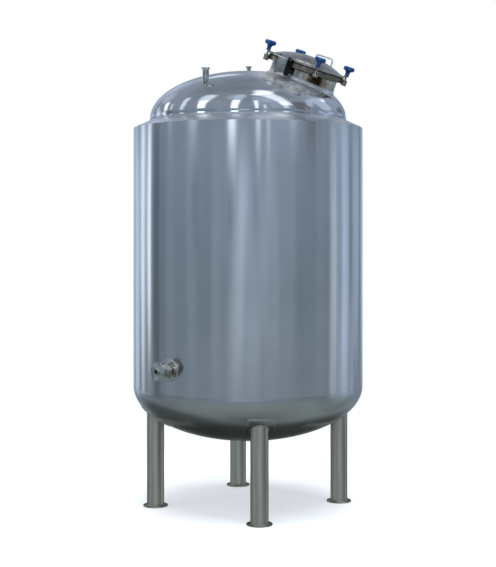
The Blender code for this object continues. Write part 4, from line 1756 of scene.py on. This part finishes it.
@dataclass
class SideNozzle:
    """The low side nozzle: collar on the jacket, pipe, and end plate with a socket."""

    shell: Shell
    azimuth: float = -40.0
    height: float = 0.875
    radius: float = 0.036
    wall: float = 0.0025
    inside: float = 0.590
    pipe_end: float = 0.788
    collar: float = 0.062
    collar_thickness: float = 0.006
    plate: float = 0.0535
    plate_thickness: float = 0.010
    boss: float = 0.019
    boss_length: float = 0.011
    hole: float = 0.012
    weld_out: float = 0.0008
    segments: int = 160

    def matrix(self) -> Matrix:
        """The nozzle's frame: Z outward from the tank's axis, Y up.

        Returns:
            The frame.
        """
        turn = math.radians(self.azimuth)
        outward = Vector((math.sin(turn), -math.cos(turn), 0.0))
        up = Vector((0.0, 0.0, 1.0))
        rotation = Matrix((up.cross(outward), up, outward)).transposed().to_4x4()
        return Matrix.Translation((0.0, 0.0, self.height)) @ rotation

    def on_wall(self, reach: np.ndarray, lift: np.ndarray, count: int) -> np.ndarray:
        """Rings about the nozzle that follow the jacket's curve: z = sqrt(R^2 - x^2) + lift.

        Args:
            reach: Each ring's radius.
            lift: Each ring's height above the jacket.
            count: How many points a ring has.

        Returns:
            Rings by points by three, in the nozzle's frame.
        """
        rings = wrapped(np.repeat(reach[:, None], count, axis=1), 0.0)
        z = np.sqrt(self.shell.radius ** 2 - rings[..., 0] ** 2) + lift[:, None]
        return np.concatenate([rings[..., :2], z[..., None]], axis=-1)

    def build(self, palette: Palette) -> None:
        """Builds and dresses the nozzle.

        Args:
            palette: The materials.
        """
        place, finish, slot = self.matrix(), POLISHED_TUBE, "fitting_steel"
        section = rectangle(self.radius + GAP, self.collar, GAP, self.collar_thickness)
        reach, lift = rounded(section, reach=0.0022, steps=5).T
        collar = Skin(self.on_wall(reach, lift, self.segments), loop_rows=True)
        palette.add("nozzle_collar", [collar], finish, slot, "outlet_collar", place=place)
        inner = self.radius - self.wall
        pipe = turned(
            tube_section(inner, self.radius, self.inside, self.pipe_end), self.segments,
            edge=0.0008,
        )
        palette.add("nozzle_pipe", [pipe], finish, slot, "outlet_pipe", place=place)
        back = self.pipe_end + GAP
        front = back + self.plate_thickness
        end = front + self.boss_length
        corners = [
            (self.hole, back), (self.plate, back), (self.plate, front), (self.boss, front),
            (self.boss, end), (self.hole, end),
        ]
        plate = turned(corners, self.segments, edge=0.0016, steps=4)
        palette.add("nozzle_plate", [plate], finish, slot, "outlet_plate", place=place)
        out = np.array([self.weld_out])
        seam = self.on_wall(self.collar + out, out, count=420)[0]
        bead = NOZZLE_BEAD.along(seam, seam * [1, 1, 0] / self.collar + [0, 0, 1])
        palette.add("nozzle_weld", [bead], WELD_METAL, slot, place=place)


# Studio


def toward(azimuth: float, elevation: float) -> Vector:
    """The direction at an azimuth, from the front and positive to the right, and an elevation.

    Args:
        azimuth: In degrees.
        elevation: In degrees.

    Returns:
        The unit direction.
    """
    turn, lift = math.radians(azimuth), math.radians(elevation)
    level = math.cos(lift)
    return Vector((math.sin(turn) * level, -math.cos(turn) * level, math.sin(lift)))


@dataclass(frozen=True)
class Panel:
    """A straight panel of soft light, or a dark flag: a band between two directions.

    Attributes:
        start: The azimuth and elevation of one end as the tank sees it, in degrees.
        end: Those of the other end.
        half: Half its width in degrees.
        glow: Its light, or, below zero, the share of the light behind it that it takes away.
        tint: Its colour.
        edge: How soft its long edges are, in degrees.
        fade: How soft its ends are.
    """

    start: tuple[float, float]
    end: tuple[float, float]
    half: float
    glow: float
    tint: str = "#f4f8ff"
    edge: float = 2.0
    fade: float = 4.0

    def mask(self, tree: Tree, place: Socket) -> Node:
        """How much of the panel lies in a direction d.

        With N the normal of the plane through both ends A and B, and M the direction between them,
        |d . N| fades past the panel's long edges and d . M past its ends. The mask is the product
        of both.

        Args:
            tree: The world's node tree.
            place: The direction.

        Returns:
            A number from 0 to 1.
        """
        a, b = toward(*self.start), toward(*self.end)
        across, middle = a.cross(b).normalized(), (a + b).normalized()
        reach = math.degrees(a.angle(middle))
        off, ahead = [
            node(
                tree, "ShaderNodeVectorMath", {0: place, 1: axis}, operation="DOT_PRODUCT"
            ).outputs["Value"]
            for axis in (across, middle)
        ]
        off = node(tree, "ShaderNodeMath", {0: off}, operation="ABSOLUTE")
        sides = [math.radians(self.half + s * self.edge / 2) for s in (1, -1)]
        ends = [math.radians(max(0.0, reach + s * self.fade / 2)) for s in (1, -1)]
        limits = ((off, map(math.sin, sides)), (ahead, map(math.cos, ends)))
        masks = [
            node(
                tree, "ShaderNodeMapRange", {"Value": value, "From Min": far, "From Max": near},
                interpolation_type="SMOOTHSTEP",
            )
            for value, (far, near) in limits
        ]
        return node(tree, "ShaderNodeMath", {0: masks[0], 1: masks[1]}, operation="MULTIPLY")

    def over(self, tree: Tree, light: Socket, place: Socket) -> Socket:
        """Adds the panel's light to what is behind it, or blends that toward the flag's colour.

        Args:
            tree: The world's node tree.
            light: The light behind it.
            place: The direction.

        Returns:
            The light with the panel.
        """
        mask = self.mask(tree, place)
        if self.glow < 0:
            share = node(tree, "ShaderNodeMath", {0: mask, 1: -self.glow}, operation="MULTIPLY")
            return node(
                tree, "ShaderNodeMix", {"Factor": share, "A": light, "B": linear(self.tint)},
                data_type="RGBA",
            ).outputs["Result"]
        glow = tuple(self.glow * c for c in linear(self.tint)[:3])
        lit = node(tree, "ShaderNodeVectorMath", {0: glow, "Scale": mask}, operation="SCALE")
        return node(tree, "ShaderNodeVectorMath", {0: light, 1: lit}, operation="ADD").outputs[0]


COOL, PALE, BLUE = "#e3ecff", "#f4f8ff", "#cfe0ff"


def upright(
    azimuth: float, half: float, glow: float, tint: str = COOL, edge: float = 2.0,
    low: float = -16.0, high: float = 11.0, fade: float = 8.0,
) -> Panel:
    """A tall panel at the tank's own level, which the jacket smears into an upright band.

    Args:
        azimuth: Its azimuth in degrees.
        half: Half its width in degrees.
        glow: Its light.
        tint: Its colour.
        edge: How soft its long edges are.
        low: The elevation of its lower end.
        high: That of its upper end.
        fade: How soft its ends are.

    Returns:
        The panel.
    """
    return Panel((azimuth, low), (azimuth, high), half, glow, tint, edge, fade)


@dataclass
class Studio:
    """The floor, the soft light and the camera.

    Attributes:
        eye: The camera's place.
        lens: Its focal length in millimetres.
        shift: How far its frame is shifted, as a share of the frame.
        floor_rings: The radii of the floor's rings.
        floor_fade: How far from the tank's axis the floor starts to fade, and is plain white.
        floor_glow: How much of the floor's white is its own.
        softbox: The overhead softbox's place, its width and its power.
        sky: The soft light's colours by elevation.
        panels: The panels and flags, in the order in which they lie over the sky.
    """

    eye: Point = (0.0, -7.7176, 1.6702)
    lens: float = 79.86
    shift: float = -0.0923
    floor_rings: tuple[float, ...] = (0.0, 4.0, 12.0, 60.0)
    floor_fade: tuple[float, float] = (0.9, 2.6)
    floor_glow: float = 0.45
    softbox: tuple[Point, float, float] = ((0.0, -1.0, 7.0), 7.0, 420.0)
    sky: tuple[tuple[float, str], ...] = (
        # Soft light by elevation: a grey floor below, cool at eye level, paler above
        (-90, "#686b6a"), (-75, "#838989"), (-52, "#91999b"), (-30, "#939ca1"), (-18, "#8995a0"),
        (-6, "#82909a"), (0, "#8394a2"), (8, "#8c9caf"), (16, "#94a2b2"), (30, "#9ca7b8"),
        (50, "#98a3b2"), (70, "#909da9"), (90, "#8c99a5"),
    )
    panels: tuple[Panel, ...] = (
        # Flags beside the bright left side, which give the jacket its dark left band
        upright(-103, 4.5, -0.42, "#000000", 3, -20, 16),
        upright(-94, 6, -0.12, "#000000", 4),
        # Flags under the windows, so that the jacket's top stays even
        upright(-54, 6, -0.42, "#000000", 5, 3, 10, 5),
        upright(-36, 7, -0.06, "#000000", 5, 2, 10, 5),
        upright(-16, 5, -0.66, "#000000", 5, 3, 9, 4),
        upright(8, 3.0, -0.50, "#000000", 3, 3, 10, 5),
        upright(54, 6, -0.05, "#000000", 4, -14, -3, 5),
        # The floor in the tank's own shade
        Panel((174, -21), (-172, -72), 45, -0.97, "#363836", 20, 14),
        Panel((-142, -23), (-136, -74), 30, -0.78, "#353836", 28, 16),
        Panel((127, -24), (122, -42), 11, -0.26, "#3a3c3a", 10, 8),
        Panel((-98, -22), (-92, -42), 22, -0.16, "#3a3c3a", 14, 10),
        Panel((20, -26), (30, -60), 40, 0.035, COOL, 24, 16),
        Panel((100, -14), (118, -19), 10, 0.13, COOL, 8, 6),
        # Upright bands on the jacket, from its left edge round to its right
        upright(-166, 9, 0.40, BLUE, 6, -11, 7),
        upright(-146, 8, 0.62, BLUE, 4, -12, 7),
        upright(-129, 3.5, 0.55, PALE, 3, -12),
        upright(-128, 15, 0.48, COOL, 4, -6, 11, 10),
        upright(-115, 3, 1.15, PALE, 1.5, -7, 11, 10),
        upright(-83, 6, 0.05, BLUE, 5, -16, 5),
        upright(-57, 5, 0.07, BLUE, 5),
        upright(-32, 4, 0.10, COOL, 4),
        upright(-22, 6, 0.05, COOL, 4),
        upright(-10, 6, 0.20, COOL, 5),
        upright(-14, 7, 0.10, COOL, 5, -18, -4, 6),
        upright(-4, 8, 0.27, COOL, 4, 3, 12, 5),
        upright(3, 24, 0.17, COOL, 8),
        upright(5, 28, 0.07, COOL, 10, -18, -6, 8),
        upright(22, 7, 0.13, COOL, 6),
        upright(21, 9, 0.05, COOL, 5, 3, 12, 5),
        upright(37, 10, 0.07, COOL, 8),
        upright(76, 5, 0.04, COOL, 4),
        upright(93, 4.5, 0.30, PALE, 3),
        upright(104, 12, 0.18, BLUE, 5, -13),
        upright(113, 6.5, 0.36, BLUE, 4, -13),
        upright(136, 9, 0.28, BLUE, 5, -8, 11, 5),
        upright(126, 6, 0.20, BLUE, 5, -15, -4, 5),
        upright(162, 11, 0.34, BLUE, 5, -8, 7, 5),
        # Windows that the dome shows as white marks
        Panel((-55, 16), (-57, 25), 3.5, 0.25, BLUE, 3),
        Panel((-57, 19), (-66, 46), 4.5, 1.9, PALE, 3),
        Panel((-64, 41), (-82, 64), 6.0, 0.75, PALE, 5),
        Panel((-16, 15.5), (-17, 52), 3.3, 1.8, PALE, 4),
        Panel((-15, 14), (-20, 76), 4.0, 0.3, BLUE, 4),
        Panel((-20, 54), (-26, 74), 8.0, 0.26, BLUE, 8),
        Panel((10, 15), (11, 50), 2.0, 1.2),
        Panel((20, 14), (21, 32), 1.2, 0.7),
        Panel((22, 12), (22, 46), 14.0, 0.10, BLUE, 10, 8),
        Panel((40, 15), (42, 58), 11.0, 0.11, BLUE, 10, 8),
        Panel((24, 44), (28, 68), 9.0, 0.26, BLUE, 8, 8),
        Panel((46, 18), (48, 42), 3.2, 0.8, PALE, 5),
        Panel((-84, 15), (-88, 28), 2.6, 0.66),
        Panel((-88, 28), (-104, 48), 2.4, 0.75),
        Panel((-102, 15), (-112, 30), 2.2, 0.4),
        Panel((-114, 15), (-126, 30), 3.0, 1.6),
        Panel((-130, 31), (-150, 30), 6.0, 0.22, PALE, 6),
        Panel((-130, 14), (-140, 16), 4.0, 0.35, PALE, 5),
        Panel((-160, 2), (-162, 34), 10.0, 0.20, BLUE, 10, 10),
        Panel((82, 26), (96, 44), 4.0, 0.4, BLUE, 5),
        Panel((73, 13), (73, 24), 1.2, 0.6, PALE, 1.5),
        Panel((108, 14), (110, 46), 10.0, 0.48, BLUE, 6),
        Panel((135, 10), (135, 60), 16.0, 0.07, BLUE, 12, 10),
        Panel((119, 34), (126, 37), 2.0, 1.5),
        # A window behind the tank, which lights a streak along the dome's top
        Panel((-170.5, 31.5), (-177.5, 31.5), 5.8, 0.6, PALE, 3),
        Panel((-160, 24), (-168, 24), 3.0, 0.15, PALE, 4),
        # Ceiling lights, whose streak crosses the dome in front of the manway
        Panel((50, 30), (52, 80), 6.5, 1.1, PALE, 6),
        Panel((14, 73), (38, 76), 5.0, 0.85, PALE, 6),
        Panel((112, 73), (128, 71), 3.4, 0.26, PALE, 5),
        Panel((52, 76), (112, 80), 10.2, 1.2, PALE, 6, 5),
        # A lamp behind, which the lid shows beside its hinge
        Panel((147, 55), (150, 57), 2.8, 3.8, PALE, 2),
        Panel((156, 57), (161, 58), 2.3, 3.4, PALE, 2),
        # A warm dark corner on the right, and the unlit ends of the room behind
        Panel((68, 12), (70, 42), 9.0, -0.60, "#5c4c4a", 5),
        Panel((131, 12.5), (150, 13), 4.5, -0.55, "#414a54", 5),
        Panel((-178, 44), (-174, 62), 8.0, -0.24, "#4a5a62", 10, 10),
        Panel((-150, 58), (-110, 80), 18.0, -0.25, "#5d6b75", 16, 16),
        Panel((160, 30), (140, 52), 12.0, -0.35, "#5a5f63", 12, 16),
    )

    def floor(self) -> None:
        """A level pale floor that fades into the backdrop, seen by the camera, not the metal."""
        skin = Skin(np.stack([ring_path(r, 0.0, 96) for r in self.floor_rings]))
        mesh = bpy.data.meshes.new("studio_floor")
        mesh.from_pydata(skin.points.reshape(-1, 3).tolist(), [], skin.faces(0)[:, ::-1].tolist())
        floor = bpy.data.objects.new("studio_floor", mesh)
        floor.visible_glossy = False
        floor.visible_diffuse = False
        bpy.context.scene.collection.objects.link(floor)
        material = empty_material("floor_paint")
        tree = material.node_tree
        solid = node(tree, "ShaderNodeTexCoord").outputs["Object"]
        away = node(tree, "ShaderNodeVectorMath", {0: solid}, operation="LENGTH").outputs["Value"]
        start, full = self.floor_fade
        fade = node(
            tree, "ShaderNodeMapRange", {"Value": away, "From Min": start, "From Max": full},
            interpolation_type="SMOOTHSTEP",
        )
        # Matt white paint, lit through its own faint glow so that only the soft shadow shows
        white = linear("#ffffff")
        paint = node(tree, "ShaderNodeBsdfDiffuse", {"Color": linear("#e9e9e8")})
        own = node(tree, "ShaderNodeEmission", {"Color": white, "Strength": self.floor_glow})
        near = node(tree, "ShaderNodeAddShader", {0: paint, 1: own})
        far = node(tree, "ShaderNodeEmission", {"Color": white, "Strength": 1.0})
        both = node(tree, "ShaderNodeMixShader", {0: fade, 1: near, 2: far})
        node(tree, "ShaderNodeOutputMaterial", {"Surface": both})
        mesh.materials.append(material)
        floor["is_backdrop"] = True

    def world(self) -> None:
        """The soft light, with panels and flags round the tank, and a plain white backdrop."""
        world = bpy.data.worlds.new("studio_light")
        bpy.context.scene.world = world
        world.use_nodes = True
        tree = world.node_tree
        tree.nodes.clear()
        place = node(tree, "ShaderNodeTexCoord").outputs["Generated"]
        height = node(tree, "ShaderNodeSeparateXYZ", {"Vector": place}).outputs["Z"]
        lift = node(tree, "ShaderNodeMath", {0: height}, operation="ARCSINE")
        level = node(
            tree, "ShaderNodeMapRange",
            {"Value": lift, "From Min": -math.pi / 2, "From Max": math.pi / 2},
        )
        ramp = node(tree, "ShaderNodeValToRGB", {"Fac": level})
        while len(ramp.color_ramp.elements) < len(self.sky):
            ramp.color_ramp.elements.new(0.5)
        for element, (angle, colour) in zip(ramp.color_ramp.elements, self.sky):
            element.position = (angle + 90) / 180
            element.color = linear(colour)
        light = ramp.outputs[0]
        for panel in self.panels:
            light = panel.over(tree, light, place)
        soft = node(tree, "ShaderNodeBackground", {"Color": light, "Strength": 1.0})
        plain = node(tree, "ShaderNodeBackground", {"Color": linear("#ffffff"), "Strength": 1.0})
        seen = node(tree, "ShaderNodeLightPath").outputs["Is Camera Ray"]
        both = node(tree, "ShaderNodeMixShader", {0: seen, 1: soft, 2: plain})
        node(tree, "ShaderNodeOutputWorld", {"Surface": both})

    def lights(self) -> None:
        """One large overhead softbox, kept out of the metal's reflections."""
        lamp = bpy.data.lights.new("overhead_softbox", "AREA")
        light = bpy.data.objects.new("overhead_softbox", lamp)
        lamp.shape = "DISK"
        light.location, lamp.size, lamp.energy = self.softbox
        light.visible_glossy = False
        bpy.context.scene.collection.objects.link(light)

    def camera(self) -> None:
        """The camera at the photograph's eye level, level, its frame shifted down a little."""
        data = bpy.data.cameras.new("studio_camera")
        data.lens, data.sensor_width, data.sensor_fit = self.lens, 36.0, "AUTO"
        data.shift_y = self.shift
        data.clip_end = 200.0
        camera = bpy.data.objects.new("studio_camera", data)
        camera.location = self.eye
        camera.rotation_euler = (math.radians(90), 0.0, 0.0)
        bpy.context.scene.collection.objects.link(camera)
        bpy.context.scene.camera = camera

    def build(self) -> None:
        """Builds the floor, the light and the camera, and shows colours as they are."""
        self.floor()
        self.world()
        self.lights()
        self.camera()
        bpy.context.scene.view_settings.view_transform = "Standard"


def write_sizes() -> None:
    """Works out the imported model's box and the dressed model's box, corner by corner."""
    boxes = {"cad": CAD_BOX, "visual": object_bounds()}
    lists = {name: [list(map(float, corner)) for corner in box] for name, box in boxes.items()}


def main() -> None:
    """Builds the studio and every sub-assembly in order."""
    logging.basicConfig(level=logging.INFO, format="%(name)s: %(message)s")
    palette = Palette()
    Studio().build()
    shell, manway = Shell(), Manway()
    dome, lid = Dome(manway), Lid(manway)
    parts: list[object] = [shell, Vessel(), dome, manway, lid, Hinge(manway, lid)]
    parts += [Leg(shell, k) for k in range(1, 5)]
    parts += [SwingBolt(manway, lid, k) for k in range(1, 5)]
    parts += [
        TopNozzle(
            dome, "left_ferrule", "top_nozzle_left", -0.246, -0.410, pipe=0.019,
            ferrule=0.02525, top=2.620,
        ),
        TopNozzle(
            dome, "back_ferrule", "top_nozzle_back", 0.005, 0.280, pipe=0.0125,
            ferrule=0.020, top=2.717,
        ),
        SideNozzle(shell),
    ]
    for part in parts:
        part.build(palette)
    write_sizes()


if __name__ == "__main__":
    main()
